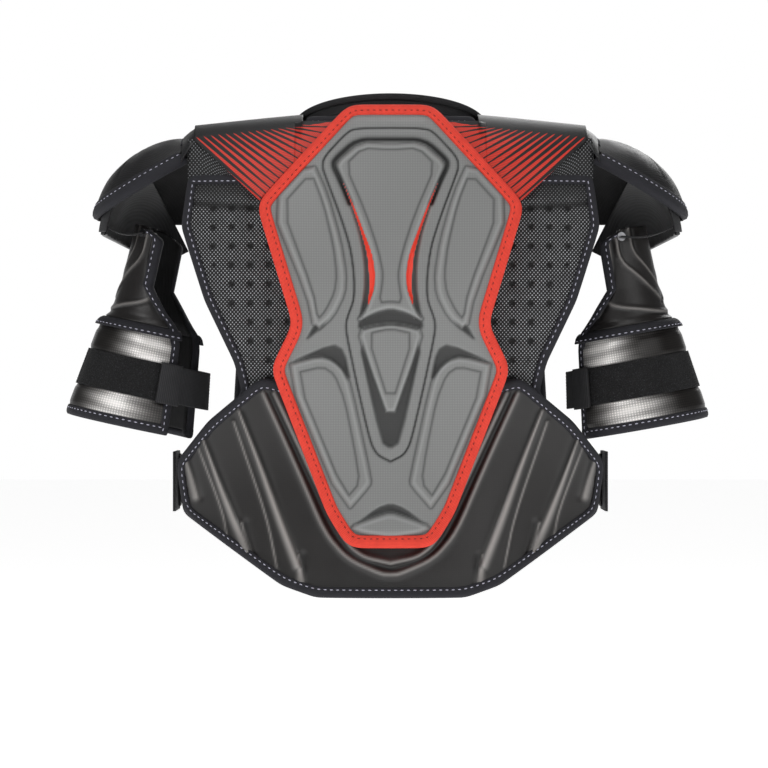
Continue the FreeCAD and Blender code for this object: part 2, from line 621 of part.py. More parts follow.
for side, word in ((-1, "left"), (1, "right")):
    splay = size(f"{word}_splay")
    twist = size(f"{word}_twist")
    lean = Rotation(Vector(0, 1, 0), -side * splay)
    spin_in = Rotation(Vector(0, 0, 1), side * twist)
    arm_frame = Placement(Vector(side * size("arm_axis_half"), 0, size("shoulder_z")),
                          lean.multiply(spin_in))

    open_side = prism(f"guard_opening_{word}", [
        ("0", "guard_top + 40"), ("0", "guard_mid"),
        (signed("-30", side), "guard_end"), (signed("-120", side), "guard_end"),
        (signed("-120", side), "guard_top + 40")])
    gap_low, gap_high = 180 - size("cuff_gap_angle"), 180 + size("cuff_gap_angle")
    gap_room = sector(f"cuff_gap_{word}", side, gap_low, gap_high)

    upper = turned(f"upper_{word}", [
        ("guard_neck_radius", "guard_top"), ("guard_mid_radius", "guard_mid"),
        ("guard_end_radius", "guard_end"), ("guard_end_radius - guard_wall", "guard_end"),
        ("guard_mid_radius - guard_wall", "guard_mid"),
        ("guard_neck_radius - guard_wall", "guard_top")])
    liner_skin = "( guard_wall + layer_gap )"
    lining = turned(f"lining_{word}", [
        (f"guard_neck_radius - {liner_skin}", "guard_top"),
        (f"guard_mid_radius - {liner_skin}", "guard_mid"),
        (f"guard_end_radius - {liner_skin}", "guard_end"),
        (f"guard_end_radius - {liner_skin} - arm_liner_wall", "guard_end"),
        (f"guard_mid_radius - {liner_skin} - arm_liner_wall", "guard_mid"),
        (f"guard_neck_radius - {liner_skin} - arm_liner_wall", "guard_top")])
    arm = [
        (cut(f"upper_guard_{word}", upper, open_side), f"upper_arm_guard_{word}"),
        (cut(f"lining_cut_{word}", lining, open_side), f"upper_arm_liner_{word}"),
    ]
    cuff = cuff_layer(f"cuff_{word}", "cuff_top", "cuff_end", "-1 * cuff_wall", "0")
    cuff_lining = cuff_layer(f"cuff_lining_{word}", "cuff_top", "cuff_end",
                             "-1 * cuff_wall - layer_gap - arm_liner_wall",
                             "-1 * cuff_wall - layer_gap")
    hem_end = "cuff_end - layer_gap - cuff_hem_height"
    hem = cuff_layer(f"hem_{word}", "cuff_end - layer_gap", hem_end,
                     "-1 * cuff_wall - layer_gap - arm_liner_wall", "1.0")
    band = cuff_layer(f"band_{word}", "cuff_top + 2", "band_end", "layer_gap",
                      "layer_gap + band_thickness")
    loop = cuff_layer(f"loop_{word}", "loop_top", "loop_end", "layer_gap",
                      "layer_gap + loop_thickness")
    for blank, label in ((cuff, "bicep_cuff"), (cuff_lining, "bicep_cuff_liner"),
                         (hem, "cuff_hem_binding"), (band, "cuff_band"),
                         (loop, "bicep_loop_strip")):
        arm.append((cut(f"{blank.Name}_open", blank, gap_room), f"{label}_{word}"))

    hook_in = "layer_gap * 2 + loop_thickness"
    strap_in = f"{hook_in} + bicep_hook_thickness + layer_gap"
    hook = cuff_layer(f"hook_blank_{word}", "loop_top - 3", "loop_end + 3", hook_in,
                      f"{hook_in} + bicep_hook_thickness")
    strap = cuff_layer(f"strap_blank_{word}", "loop_top", "loop_end", strap_in,
                       f"{strap_in} + bicep_strap_thickness")
    start, stop = size("bicep_strap_start"), size("bicep_strap_stop")
    hook_sector = sector(f"hook_sector_{word}", side, size("bicep_hook_start"), stop - 2)
    strap_sector = sector(f"strap_sector_{word}", side, start, stop)
    arm.append((common(f"bicep_hook_cut_{word}", hook, hook_sector), f"bicep_hook_{word}"))
    arm.append((common(f"bicep_strap_cut_{word}", strap, strap_sector), f"bicep_strap_{word}"))
    rivet = bound(doc.addObject("Part::Cylinder", f"rivet_{word}"), Radius="rivet_radius",
                  Height="rivet_height")
    angle = math.radians(size("rivet_angle"))
    away = Vector(side * math.cos(angle), -math.sin(angle), 0)
    slant = (size("guard_mid_radius") - size("guard_neck_radius")) * size("rivet_drop")
    seat = size("guard_neck_radius") + slant / (size("guard_top") - size("guard_mid"))
    height = size("guard_top") - size("rivet_drop")
    node(rivet, f"hanger_rivet_{word}")
    rivet.Placement = arm_frame.multiply(Placement(
        away * (seat + size("layer_gap")) + Vector(0, 0, height),
        Rotation(Vector(0, 0, 1), away)))
    for thing, label in arm:
        node(thing, label).Placement = arm_frame

# --- Check and write ---------------------------------------------------------------------------

doc.recompute()
failed = [o.Label for o in doc.Objects if "Invalid" in o.State or "Error" in o.State]
if failed:
    raise RuntimeError(f"these objects failed: {failed}")
os.makedirs("parts", exist_ok=True)
for old in os.listdir("parts"):
    if old.endswith(".step"):
        os.remove(os.path.join("parts", old))
for thing in nodes:
    shape = thing.Shape
    if shape.isNull() or not shape.isValid() or not shape.Solids:
        raise RuntimeError(f"{thing.Label} has no valid solid")
    print(f"{thing.Label}: {len(shape.Solids)} solid(s), {shape.Volume / 1000:.1f} cm3")
    shape.exportStep(f"parts/{thing.Label}.step")
print(len(nodes), "nodes")
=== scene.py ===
"""Looks of the hockey shoulder pads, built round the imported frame. Sizes are in millimetres."""

import logging
import math
from collections.abc import Callable, Sequence
from dataclasses import dataclass
from enum import Enum
from functools import cache

import bmesh
import bpy
import numpy as np
from mathutils import Matrix, Vector
from mathutils.bvhtree import BVHTree


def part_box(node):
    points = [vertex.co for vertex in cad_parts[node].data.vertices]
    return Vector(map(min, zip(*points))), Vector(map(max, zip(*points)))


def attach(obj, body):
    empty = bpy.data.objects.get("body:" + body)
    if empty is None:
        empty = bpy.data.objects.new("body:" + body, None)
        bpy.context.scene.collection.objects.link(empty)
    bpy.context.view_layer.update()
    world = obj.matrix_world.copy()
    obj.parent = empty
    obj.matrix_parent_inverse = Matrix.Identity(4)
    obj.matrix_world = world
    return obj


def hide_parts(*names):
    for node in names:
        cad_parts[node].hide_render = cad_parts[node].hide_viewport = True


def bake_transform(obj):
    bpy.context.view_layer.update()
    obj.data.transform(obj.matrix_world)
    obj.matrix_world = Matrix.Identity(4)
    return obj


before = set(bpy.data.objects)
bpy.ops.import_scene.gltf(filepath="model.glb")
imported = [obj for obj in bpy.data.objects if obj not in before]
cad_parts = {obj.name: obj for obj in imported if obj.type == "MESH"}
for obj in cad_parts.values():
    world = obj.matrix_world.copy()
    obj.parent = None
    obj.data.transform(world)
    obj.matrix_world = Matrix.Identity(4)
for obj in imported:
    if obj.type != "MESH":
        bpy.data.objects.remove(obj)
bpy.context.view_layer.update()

log = logging.getLogger("shoulder_pads")
MM = 0.001
SIDES = ((-1, "left"), (1, "right"))
# Middle of the ball that each cap is cut from, and each arm's splay and twist in degrees.
BALL_X, BALL_Z = 184.0, -96.0
ARM_LEAN = {"left": (12.0, 12.0), "right": (10.0, -16.0)}
Array = np.ndarray
Sockets = dict
Relief = Callable[[Array, Array], tuple[Array, dict[str, Array]]]


class Facing(Enum):
    """Which way a panel of the vest looks."""

    BACK = -1
    FRONT = 1


class Ground(Enum):
    """Where a finish takes its pattern's coordinates from."""

    SURFACE = "UV"
    SOLID = "Object"


# --- Numbers and outlines -------------------------------------


def linear(code: str) -> tuple[float, float, float, float]:
    """Turns an sRGB hex colour to linear.

    Args:
        code: Six hex digits.

    Returns:
        The colour in linear light, with an alpha of 1.
    """
    parts = [int(code[i:i + 2], 16) / 255 for i in (0, 2, 4)]
    red, green, blue = (p / 12.92 if p <= 0.04045 else ((p + 0.055) / 1.055) ** 2.4 for p in parts)
    return red, green, blue, 1.0


def ramp(value: Array, start: float, stop: float) -> Array:
    """Rises smoothly from 0 at start to 1 at stop, which may be below it."""
    share = np.clip((value - start) / (stop - start), 0, 1)
    return share * share * (3 - 2 * share)


def bump(gap: Array, wide: Array | float) -> Array:
    """A round-topped rib: 1 where the gap is 0, fading to nothing over its width."""
    return np.exp(-(gap / wide) ** 2)


def folded(flat: Array) -> Array:
    """Flat points with the left half folded over onto the right."""
    return np.stack([np.abs(flat[:, 0]), flat[:, 1]], 1)


def distance(points: Array, line: Array) -> Array:
    """Distance from each point to the nearest stretch of an open line.

    Args:
        points: N by 2.
        line: M by 2, the line's corners.

    Returns:
        N distances.
    """
    best = np.full(len(points), 1e9)
    for start, stop in zip(line, line[1:]):
        along = stop - start
        share = np.clip((points - start) @ along / max(along @ along, 1e-12), 0, 1)
        best = np.minimum(best, np.hypot(*(points - start - share[:, None] * along).T))
    return best


def depth_inside(points: Array, outline: Array) -> Array:
    """Distance of each point from a closed outline, positive inside it.

    Args:
        points: N by 2.
        outline: M by 2, the outline's corners.

    Returns:
        N distances.
    """
    ring = np.vstack([outline, outline[:1]])
    inside = np.zeros(len(points), bool)
    for (x0, z0), (x1, z1) in zip(ring, ring[1:]):
        spans = (z0 > points[:, 1]) != (z1 > points[:, 1])
        if z1 != z0:
            inside ^= spans & (points[:, 0] < (x1 - x0) * (points[:, 1] - z0) / (z1 - z0) + x0)
    gap = distance(points, ring)
    return np.where(inside, gap, -gap)


def rounded(corners: Sequence[tuple[float, float]], times: int = 2, closed: bool = True) -> Array:
    """Rounds a polygon or line by cutting its corners.

    Args:
        corners: The corners.
        times: How often the corners are cut.
        closed: Whether the last corner joins the first.

    Returns:
        The rounded line's points.
    """
    line = np.array(corners, float)
    for _ in range(times):
        following = np.roll(line, -1, axis=0)
        cut = np.stack([0.8 * line + 0.2 * following, 0.2 * line + 0.8 * following], 1)
        if closed:
            line = cut.reshape(-1, line.shape[1])
        else:
            line = np.vstack([line[:1], cut[:-1].reshape(-1, line.shape[1]), line[-1:]])
    return line


def spaced(line: Array, step: float) -> Array:
    """Points at even steps round a closed line.

    Args:
        line: The line's points, in two or three dimensions.
        step: The wanted step.

    Returns:
        The new points. The first isn't repeated.
    """
    ring = np.vstack([line, line[:1]])
    run = np.concatenate([[0], np.cumsum(np.linalg.norm(np.diff(ring, axis=0), axis=1))])
    count = max(int(round(run[-1] / step)), 2)
    marks = np.linspace(0, run[-1], count + 1)[:-1]
    return np.stack([np.interp(marks, run, ring[:, i]) for i in range(ring.shape[1])], 1)


def smooth_line(line: Array, passes: int) -> Array:
    """Averages each point of a closed line with its neighbours, a number of times."""
    for _ in range(passes):
        line = 0.25 * np.roll(line, 1, 0) + 0.5 * line + 0.25 * np.roll(line, -1, 0)
    return line


# --- Materials ------------------------------------------------


def add(tree: bpy.types.NodeTree, kind: str, inputs: Sockets | None = None,
        **settings: object) -> bpy.types.Node:
    """Adds a node with its settings and links.

    Args:
        tree: The material's node tree.
        kind: The node's type.
        inputs: Socket name or number to a value or to the socket it is linked from.
        settings: The node's own properties.

    Returns:
        The node.
    """
    node = tree.nodes.new(kind)
    for name, value in settings.items():
        setattr(node, name, value)
    for name, value in (inputs or {}).items():
        if isinstance(value, bpy.types.NodeSocket):
            tree.links.new(value, node.inputs[name])
        else:
            node.inputs[name].default_value = value
    return node


@dataclass(frozen=True)
class Finish:
    """A finish: a base colour and gloss, which each kind of finish patterns in its own way."""

    name: str
    colour: str = "101012"
    dark: str = "050506"
    roughness: float = 0.6
    metallic: float = 0.0
    specular: float = 0.5
    coat: float = 0.0
    sheen: float = 0.0
    grain: float = 1.0
    bump: float = 0.3
    ground: Ground = Ground.SOLID

    def material(self) -> bpy.types.Material:
        """Makes the material the first time, and finds it after that."""
        found = bpy.data.materials.get(self.name)
        if found:
            return found
        made = bpy.data.materials.new(self.name)
        made.use_nodes = True
        tree = made.node_tree
        tree.nodes.clear()
        shader = add(tree, "ShaderNodeBsdfPrincipled", {
            "Roughness": self.roughness, "Metallic": self.metallic, "Coat Weight": self.coat,
            "Specular IOR Level": self.specular, "Sheen Weight": self.sheen})
        place = add(tree, "ShaderNodeTexCoord").outputs[self.ground.value]
        colour, rough, height, depth = self.pattern(tree, place)
        tree.links.new(colour, shader.inputs["Base Color"])
        if rough is not None:
            tree.links.new(rough, shader.inputs["Roughness"])
        if height is not None:
            bumped = add(tree, "ShaderNodeBump", {"Height": height, "Strength": self.bump,
                                                  "Distance": depth * MM})
            tree.links.new(bumped.outputs[0], shader.inputs["Normal"])
        out = add(tree, "ShaderNodeOutputMaterial", {0: shader.outputs[0]})
        out.location = (400, 0)
        return made

    def mix(self, tree: bpy.types.NodeTree, share: object, first: object,
            second: object) -> bpy.types.NodeSocket:
        """Mixes two colours, each a hex code or a socket, by a share that may be a socket."""
        pair = [linear(c) if isinstance(c, str) else c for c in (first, second)]
        node = add(tree, "ShaderNodeMix", {0: share, 6: pair[0], 7: pair[1]}, data_type="RGBA")
        return node.outputs[2]

    def calc(self, tree: bpy.types.NodeTree, operation: str, first: object, second: object = 0.0,
             clamp: bool = False) -> bpy.types.NodeSocket:
        """One step of arithmetic on numbers or sockets."""
        return add(tree, "ShaderNodeMath", {0: first, 1: second}, operation=operation,
                   use_clamp=clamp).outputs[0]

    def bands(self, tree: bpy.types.NodeTree, place: bpy.types.NodeSocket, period: float,
              turn: float = 0.0, axis: str = "Z") -> bpy.types.NodeSocket:
        """Sine bands of a period in millimetres, turned by degrees about an axis."""
        spin = [math.radians(turn) if a == axis else 0.0 for a in "XYZ"]
        turned = add(tree, "ShaderNodeMapping", {"Vector": place, "Rotation": spin})
        wave = add(tree, "ShaderNodeTexWave", {"Vector": turned.outputs[0],
                                               "Scale": math.pi / 10 / (period * MM)},
                   wave_type="BANDS", bands_direction="X")
        return wave.outputs["Fac"]

    def noise(self, tree: bpy.types.NodeTree, place: bpy.types.NodeSocket, size: float,
              detail: float = 2.0) -> bpy.types.NodeSocket:
        """Noise whose lumps are about that many millimetres wide."""
        return add(tree, "ShaderNodeTexNoise", {"Vector": place, "Scale": 1 / (size * MM),
                                                "Detail": detail}).outputs["Fac"]

    def mark(self, tree: bpy.types.NodeTree, name: str) -> bpy.types.NodeSocket:
        """A piece's own attribute of that name."""
        return add(tree, "ShaderNodeAttribute", attribute_name=name).outputs["Fac"]

    def pattern(self, tree: bpy.types.NodeTree, place: bpy.types.NodeSocket) -> tuple:
        """The finish's own look.

        Args:
            tree: The material's node tree.
            place: The pattern's coordinates.

        Returns:
            Sockets for colour, roughness or None, and height or None, then the height's depth.
        """
        lumps = self.noise(tree, place, self.grain)
        colour = self.mix(tree, lumps, self.dark, self.colour)
        return colour, None, lumps, 0.3


@dataclass(frozen=True)
class MouldedFoam(Finish):
    """EVA foam pressed in a hot mould: satin, with the press cloth's fine weave on its faces."""

    # Colour of the painted highlight along the crests.
    edge: str = "9a9a9a"

    def pattern(self, tree: bpy.types.NodeTree, place: bpy.types.NodeSocket) -> tuple:
        """Weave on the flats, with painted shade in the valleys and a painted highlight along the
        crests.
        """
        weave = self.calc(tree, "MULTIPLY", self.bands(tree, place, self.grain),
                          self.bands(tree, place, self.grain, 90))
        clouds = self.noise(tree, place, 55, 3)
        shade = self.mark(tree, "valley_shade")
        tone = self.calc(tree, "MULTIPLY_ADD", weave, 0.5)
        tone.node.inputs[2].default_value = 0.3
        base = self.mix(tree, tone, self.dark, self.colour)
        # Painted highlight along the crests, in the edge colour.
        highlighted = self.mix(tree, self.calc(tree, "MULTIPLY", self.mark(tree, "crest_highlight"), 0.75), base,
                        self.edge)
        # Painted shade in the valleys, nearly black.
        shaded = self.mix(tree, shade, highlighted, "060606")
        rough = self.calc(tree, "MULTIPLY_ADD", clouds, 0.24)
        rough.node.inputs[2].default_value = self.roughness - 0.12
        return shaded, rough, weave, 0.12


@dataclass(frozen=True)
class PlateFoam(MouldedFoam):
    """The spine plate's grey foam, with a red film showing in two slits."""

    red: str = "ea3a26"

    def pattern(self, tree: bpy.types.NodeTree, place: bpy.types.NodeSocket) -> tuple:
        """The foam, with its slits painted."""
        colour, rough, height, depth = super().pattern(tree, place)
        slit = add(tree, "ShaderNodeMapRange", {0: self.mark(tree, "slit"), 1: 0.35, 2: 0.65})
        return self.mix(tree, slit.outputs[0], colour, self.red), rough, height, depth


@dataclass(frozen=True)
class DimpleMesh(Finish):
    """Spacer mesh over foam, knitted in diagonal cells, with round vent dimples."""

    thread: str = "b4b6ba"

    def pattern(self, tree: bpy.types.NodeTree, place: bpy.types.NodeSocket) -> tuple:
        """Light threads that cross over dark gaps, with painted shade in the dimples and a painted
        shadow towards the top.
        """
        left = self.bands(tree, place, self.grain, 42)
        right = self.bands(tree, place, self.grain, -42)
        knots = self.calc(tree, "MULTIPLY", left, right)
        threads = add(tree, "ShaderNodeMapRange", {0: knots, 1: 0.42, 2: 0.8})
        # The shadow mark darkens the threads as painted shadow.
        lit = self.calc(tree, "MULTIPLY", threads.outputs[0],
                        self.calc(tree, "SUBTRACT", 1.0, self.mark(tree, "shadow")))
        wear = self.noise(tree, place, 14, 3)
        lit = self.calc(tree, "MULTIPLY", lit, self.calc(tree, "ADD", wear, 0.35))
        colour = self.mix(tree, lit, self.dark, self.thread)
        # Painted shade in the dimples and creases.
        shaded = self.mix(tree, self.mark(tree, "valley_shade"), colour, "020203")
        return shaded, None, knots, 0.5


@dataclass(frozen=True)
class RibbedTape(Finish):
    """Woven binding tape: fine ribs across it, dull, with a slightly hairy face."""

    def pattern(self, tree: bpy.types.NodeTree, place: bpy.types.NodeSocket) -> tuple:
        """Ribs across the tape and faint lengthwise threads."""
        ribs = self.bands(tree, place, self.grain)
        threads = self.bands(tree, place, self.grain * 0.8, 90)
        cloth = self.calc(tree, "MULTIPLY_ADD", ribs, 0.7)
        self_threads = self.calc(tree, "MULTIPLY", threads, 0.3)
        tree.links.new(self_threads, cloth.node.inputs[2])
        fade = self.noise(tree, place, 9, 3)
        tone = self.calc(tree, "MULTIPLY", cloth, self.calc(tree, "ADD", fade, 0.5), True)
        return self.mix(tree, tone, self.dark, self.colour), None, cloth, 0.25


@dataclass(frozen=True)
class StripedCloth(Finish):
    """Printed polyester: tapering red stripes on black, plain black over the shoulder."""

    red: str = "ee3b27"

    def pattern(self, tree: bpy.types.NodeTree, place: bpy.types.NodeSocket) -> tuple:
        """Stripes where the stripe count's fraction is under the stripe width."""
        count = self.mark(tree, "stripe")
        part = self.calc(tree, "FRACT", count)
        off = self.calc(tree, "ABSOLUTE", self.calc(tree, "SUBTRACT", part, 0.5))
        width = self.calc(tree, "SUBTRACT", self.mark(tree, "width"), off)
        shown = add(tree, "ShaderNodeMapRange", {0: width, 1: -0.03, 2: 0.03})
        cloth = self.calc(tree, "MULTIPLY", self.bands(tree, place, self.grain, 45),
                          self.bands(tree, place, self.grain, -45))
        black = self.mix(tree, cloth, self.dark, self.colour)
        red = self.mix(tree, cloth, "b52a1b", self.red)
        return self.mix(tree, shown.outputs[0], black, red), None, cloth, 0.2


@dataclass(frozen=True)
class SatinCloth(Finish):
    """Nylon pack cloth: plain weave with a soft shine."""

    def pattern(self, tree: bpy.types.NodeTree, place: bpy.types.NodeSocket) -> tuple:
        """A fine plain weave with faint creases."""
        weave = self.calc(tree, "MULTIPLY", self.bands(tree, place, self.grain, 45),
                          self.bands(tree, place, self.grain, -45))
        creases = self.noise(tree, place, 22, 4)
        height = self.calc(tree, "MULTIPLY_ADD", creases, 3.0)
        tree.links.new(weave, height.node.inputs[2])
        rough = self.calc(tree, "MULTIPLY_ADD", creases, 0.3)
        rough.node.inputs[2].default_value = self.roughness - 0.15
        return self.mix(tree, weave, self.dark, self.colour), rough, height, 0.35


@dataclass(frozen=True)
class FuzzyLoop(Finish):
    """Brushed loop strip: a pile of tiny nylon loops that swallows light."""

    def pattern(self, tree: bpy.types.NodeTree, place: bpy.types.NodeSocket) -> tuple:
        """Clumps of pile with light caught on a few loops."""
        pile = self.noise(tree, place, self.grain, 6)
        glints = add(tree, "ShaderNodeMapRange", {0: self.noise(tree, place, self.grain * 0.5, 4),
                                                  1: 0.55, 2: 0.8})
        return self.mix(tree, glints.outputs[0], self.dark, self.colour), None, pile, 1.2


@dataclass(frozen=True)
class SilverFilm(Finish):
    """Woven-look film over foam: brown-black where it turns away, with a painted silver reflection
    where it would face light.
    """

    # Colour of the painted reflection.
    silver: str = "f2efec"

    def pattern(self, tree: bpy.types.NodeTree, place: bpy.types.NodeSocket) -> tuple:
        """Small checks in the film, with a painted reflection in a bright zone towards the strap's
        edge.
        """
        checks = self.calc(tree, "MULTIPLY", self.bands(tree, place, self.grain),
                           self.bands(tree, place, self.grain, 90))
        light = self.mark(tree, "light")
        base = self.mix(tree, checks, self.dark, self.colour)
        # Painted reflection, strongest where the light mark is high.
        glow = self.calc(tree, "MULTIPLY", light, self.calc(tree, "ADD", checks, 0.85), True)
        rough = self.calc(tree, "MULTIPLY_ADD", checks, 0.15)
        rough.node.inputs[2].default_value = self.roughness
        return self.mix(tree, glow, base, self.silver), rough, checks, 0.15


# For the moulded foams, edge is the colour of their painted highlight.
GREY_FOAM = PlateFoam("grey_moulded_eva", "949594", "616261", 0.5, grain=1.5, bump=0.35,
                      ground=Ground.SURFACE, edge="b4b6b5")
BLACK_FOAM = MouldedFoam("black_moulded_eva", "1f1c1b", "121010", 0.4, grain=1.6, bump=0.3,
                         ground=Ground.SURFACE, edge="9a9693")
LINER_MESH = DimpleMesh("spacer_mesh", "1b1b1d", "060607", 0.75, grain=2.5, bump=0.8,
                        ground=Ground.SURFACE)
NAVY_TAPE = RibbedTape("navy_binding_tape", "24242c", "0a0a0e", 0.85, grain=1.1, bump=0.5,
                       ground=Ground.SURFACE)
RED_TAPE = RibbedTape("red_binding_tape", "fb4a36", "b32418", 0.8, grain=1.3, bump=0.45,
                      ground=Ground.SURFACE)
BLACK_TAPE = RibbedTape("black_elastic", "2e2e31", "09090a", 0.8, grain=1.5, bump=0.7,
                        ground=Ground.SURFACE)
STRIPED = StripedCloth("striped_polyester", "19191b", "0a0a0b", 0.55, grain=1.2, bump=0.3,
                       ground=Ground.SURFACE)
SHOULDER_CLOTH = SatinCloth("black_pack_cloth", "232326", "0c0c0e", 0.45, grain=1.4, bump=0.3)
CAP_CLOTH = SatinCloth("cap_cloth", "1f1e21", "0a0a0b", 0.5, grain=1.6, bump=0.35)
DARK_LINING = SatinCloth("black_lining", "101012", "050506", 0.85, grain=2.0, bump=0.3)
LOOP_PILE = FuzzyLoop("brushed_loop", "4a4a4e", "020203", 0.95, grain=1.4, bump=1.0)
FILM = SilverFilm("cuff_silver_film", "2b2724", "0f0d0c", 0.34, metallic=0.3, grain=2.2, bump=0.3,
                  ground=Ground.SURFACE)
WHITE_THREAD = Finish("white_thread", "c9c8d6", "8f8ea0", 0.7, grain=0.8)
RED_THREAD = Finish("dark_red_thread", "7c1410", "4d0b08", 0.7, grain=0.8)
BLACK_PLASTIC = Finish("moulded_polyethylene", "18181a", "101012", 0.4, grain=6, bump=0.15)
PLAIN_FOAM = Finish("cut_foam", "3b3b3e", "2a2a2c", 0.9, grain=1.5, bump=0.6)
STEEL = Finish("rivet_steel", "9c9c9f", "6a6a6d", 0.3, metallic=1.0, grain=3, bump=0.1)


# --- Making meshes --------------------------------------------


def unit(ways: Array) -> Array:
    """Rows at unit length."""
    return ways / np.linalg.norm(ways, axis=1)[:, None]


def mesh_of(name: str, net: bmesh.types.BMesh) -> bpy.types.Mesh:
    """Makes a mesh of a net and lets the net go."""
    mesh = bpy.data.meshes.new(name)
    net.to_mesh(mesh)
    net.free()
    return mesh


def piece(name: str, mesh: bpy.types.Mesh, finish: Finish, body: str, nodes: Sequence[str] = (),
          slot: str | None = None, fill: float | None = None) -> bpy.types.Object:
    """Puts a mesh in the scene as a piece of the object.

    Args:
        name: The piece's name.
        mesh: Its mesh, in place, in metres.
        finish: What it is finished with.
        body: The CAD body that it moves with.
        nodes: CAD nodes that it stands for.
        slot: The record's material slot. Not used.
        fill: How full it is, where it is a padded piece. Not used.

    Returns:
        The new object.
    """
    made = bpy.data.objects.new(name, mesh)
    bpy.context.scene.collection.objects.link(made)
    mesh.materials.clear()
    mesh.materials.append(finish.material())
    mesh.shade_smooth()
    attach(made, body)
    if nodes:
        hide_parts(*nodes)
    log.info("%s on %s: %d faces", name, body, len(mesh.polygons))
    return made


def bending_piece(mesh: bpy.types.Mesh, finish: Finish, thickness: float,
                  bodies: tuple[str, str],
                  offset: float = -1) -> None:
    """Puts a strip of cloth in the scene between two bodies, parented to neither.

    Args:
        mesh: Its mesh, in place, in metres.
        finish: What it is finished with.
        thickness: Its thickness, in millimetres.
        bodies: The bodies at its start and at its end.
        offset: Which side the thickness lies on.
    """
    mesh.materials.append(finish.material())
    mesh.shade_smooth()
    made = bpy.data.objects.new(mesh.name, mesh)
    bpy.context.scene.collection.objects.link(made)
    thicken(made, thickness, offset)
    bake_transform(made)
    log.info("%s bends between %s and %s", mesh.name, *bodies)


def thicken(made: bpy.types.Object, thickness: float, offset: float = -1) -> bpy.types.Object:
    """Gives a skin its thickness, in millimetres, inwards unless the offset says otherwise."""
    wall = made.modifiers.new("thickness", "SOLIDIFY")
    wall.thickness = thickness * MM
    wall.offset = offset
    wall.use_even_offset = False
    return made


def set_marks(mesh: bpy.types.Mesh, marks: dict[str, Array]) -> None:
    """Stores numbers for each point of the mesh as attributes that its finish reads."""
    for name, values in marks.items():
        layer = mesh.attributes.new(name, "FLOAT", "POINT")
        layer.data.foreach_set("value", np.asarray(values, np.float32))


def points_of(mesh: bpy.types.Mesh) -> Array:
    """The mesh's points, N by 3."""
    points = np.empty(len(mesh.vertices) * 3)
    mesh.vertices.foreach_get("co", points)
    return points.reshape(-1, 3)


def move_points(mesh: bpy.types.Mesh, points: Array) -> None:
    """Sets the mesh's points from an array in millimetres."""
    mesh.vertices.foreach_set("co", (points * MM).ravel())
    mesh.update()


def set_uv(mesh: bpy.types.Mesh, flat: Array) -> None:
    """Gives each point its place on the flat cloth, in metres, as the mesh's UV map."""
    corner = np.empty(len(mesh.loops), np.int64)
    mesh.loops.foreach_get("vertex_index", corner)
    layer = mesh.uv_layers.new(name="cloth")
    layer.data.foreach_set("uv", flat[corner].astype(np.float32).ravel())


def cut_grid(name: str, low: Array, high: Array, cell: float,
             keep: Callable[[Array], Array]) -> tuple[bpy.types.Mesh, Array]:
    """A flat net of square cells, cut to an outline.

    Args:
        name: The mesh's name.
        low: Lowest corner of the net.
        high: Highest corner.
        cell: Width of a cell.
        keep: Says for each of N flat points whether it stays.

    Returns:
        The mesh and its flat points, N by 2, in millimetres.
    """
    span = high - low
    net = bmesh.new()
    bmesh.ops.create_grid(net, x_segments=int(span[0] / cell), y_segments=int(span[1] / cell),
                          size=0.5)
    middle = (low + high) / 2
    bmesh.ops.transform(net, verts=net.verts, matrix=Matrix.Translation((*middle, 0))
                        @ Matrix.Diagonal((*span, 1, 1)))
    flat = np.array([v.co.xy for v in net.verts])
    stays = keep(flat)
    bmesh.ops.delete(net, geom=[v for v, s in zip(net.verts, stays) if not s], context="VERTS")
    loose = [v for v in net.verts if not v.link_faces]
    bmesh.ops.delete(net, geom=loose, context="VERTS")
    mesh = mesh_of(name, net)
    return mesh, points_of(mesh)[:, :2]


def wrapped_grid(name: str, across: int, along: int, place: Callable[[Array, Array], Array],
                 flat: tuple[float, float], merge: bool = False) -> bpy.types.Mesh:
    """A net of cells bent to a shape.

    Args:
        name: The mesh's name.
        across: Cells across.
        along: Cells along.
        place: Gives each point's place in millimetres from its shares across and along.
        flat: The net's size when flat, in millimetres, for its UV map.
        merge: Whether edges that meet are joined and the faces turned outwards.

    Returns:
        The mesh.
    """
    net = bmesh.new()
    bmesh.ops.create_grid(net, x_segments=across, y_segments=along, size=0.5)
    mesh = mesh_of(name, net)
    shares = points_of(mesh)[:, :2] + 0.5
    set_uv(mesh, shares * np.array(flat) * MM)
    move_points(mesh, place(shares[:, 0], shares[:, 1]))
    if merge:
        tidy(mesh)
    return mesh


def tidy(mesh: bpy.types.Mesh) -> None:
    """Joins points that coincide and turns the faces outwards."""
    net = bmesh.new()
    net.from_mesh(mesh)
    bmesh.ops.remove_doubles(net, verts=net.verts, dist=0.02 * MM)
    bmesh.ops.recalc_face_normals(net, faces=net.faces)
    net.to_mesh(mesh)
    net.free()


def close_ends(mesh: bpy.types.Mesh) -> None:
    """Caps the open ends of a tube."""
    net = bmesh.new()
    net.from_mesh(mesh)
    bmesh.ops.holes_fill(net, edges=[e for e in net.edges if e.is_boundary], sides=0)
    bmesh.ops.recalc_face_normals(net, faces=net.faces)
    net.to_mesh(mesh)
    net.free()


def facing(mesh: bpy.types.Mesh, way: Facing) -> None:
    """Turns an open skin's faces to the back or the front."""
    if sum(p.normal.y for p in mesh.polygons) * way.value <= 0:
        mesh.flip_normals()


def facing_out(mesh: bpy.types.Mesh, centre: Vector) -> None:
    """Turns an open skin's faces away from a point, in metres."""
    total = sum((p.center - centre).dot(p.normal) * p.area for p in mesh.polygons)
    if total < 0:
        mesh.flip_normals()


# --- Skins of the vest ----------------------------------------


def node_tree_of(nodes: Sequence[str]) -> BVHTree:
    """A search tree over the faces of CAD nodes."""
    points: list = []
    faces: list = []
    for name in nodes:
        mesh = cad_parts[name].data
        start = len(points)
        points += [v.co.copy() for v in mesh.vertices]
        faces += [[start + i for i in p.vertices] for p in mesh.polygons]
    return BVHTree.FromPolygons(points, faces)


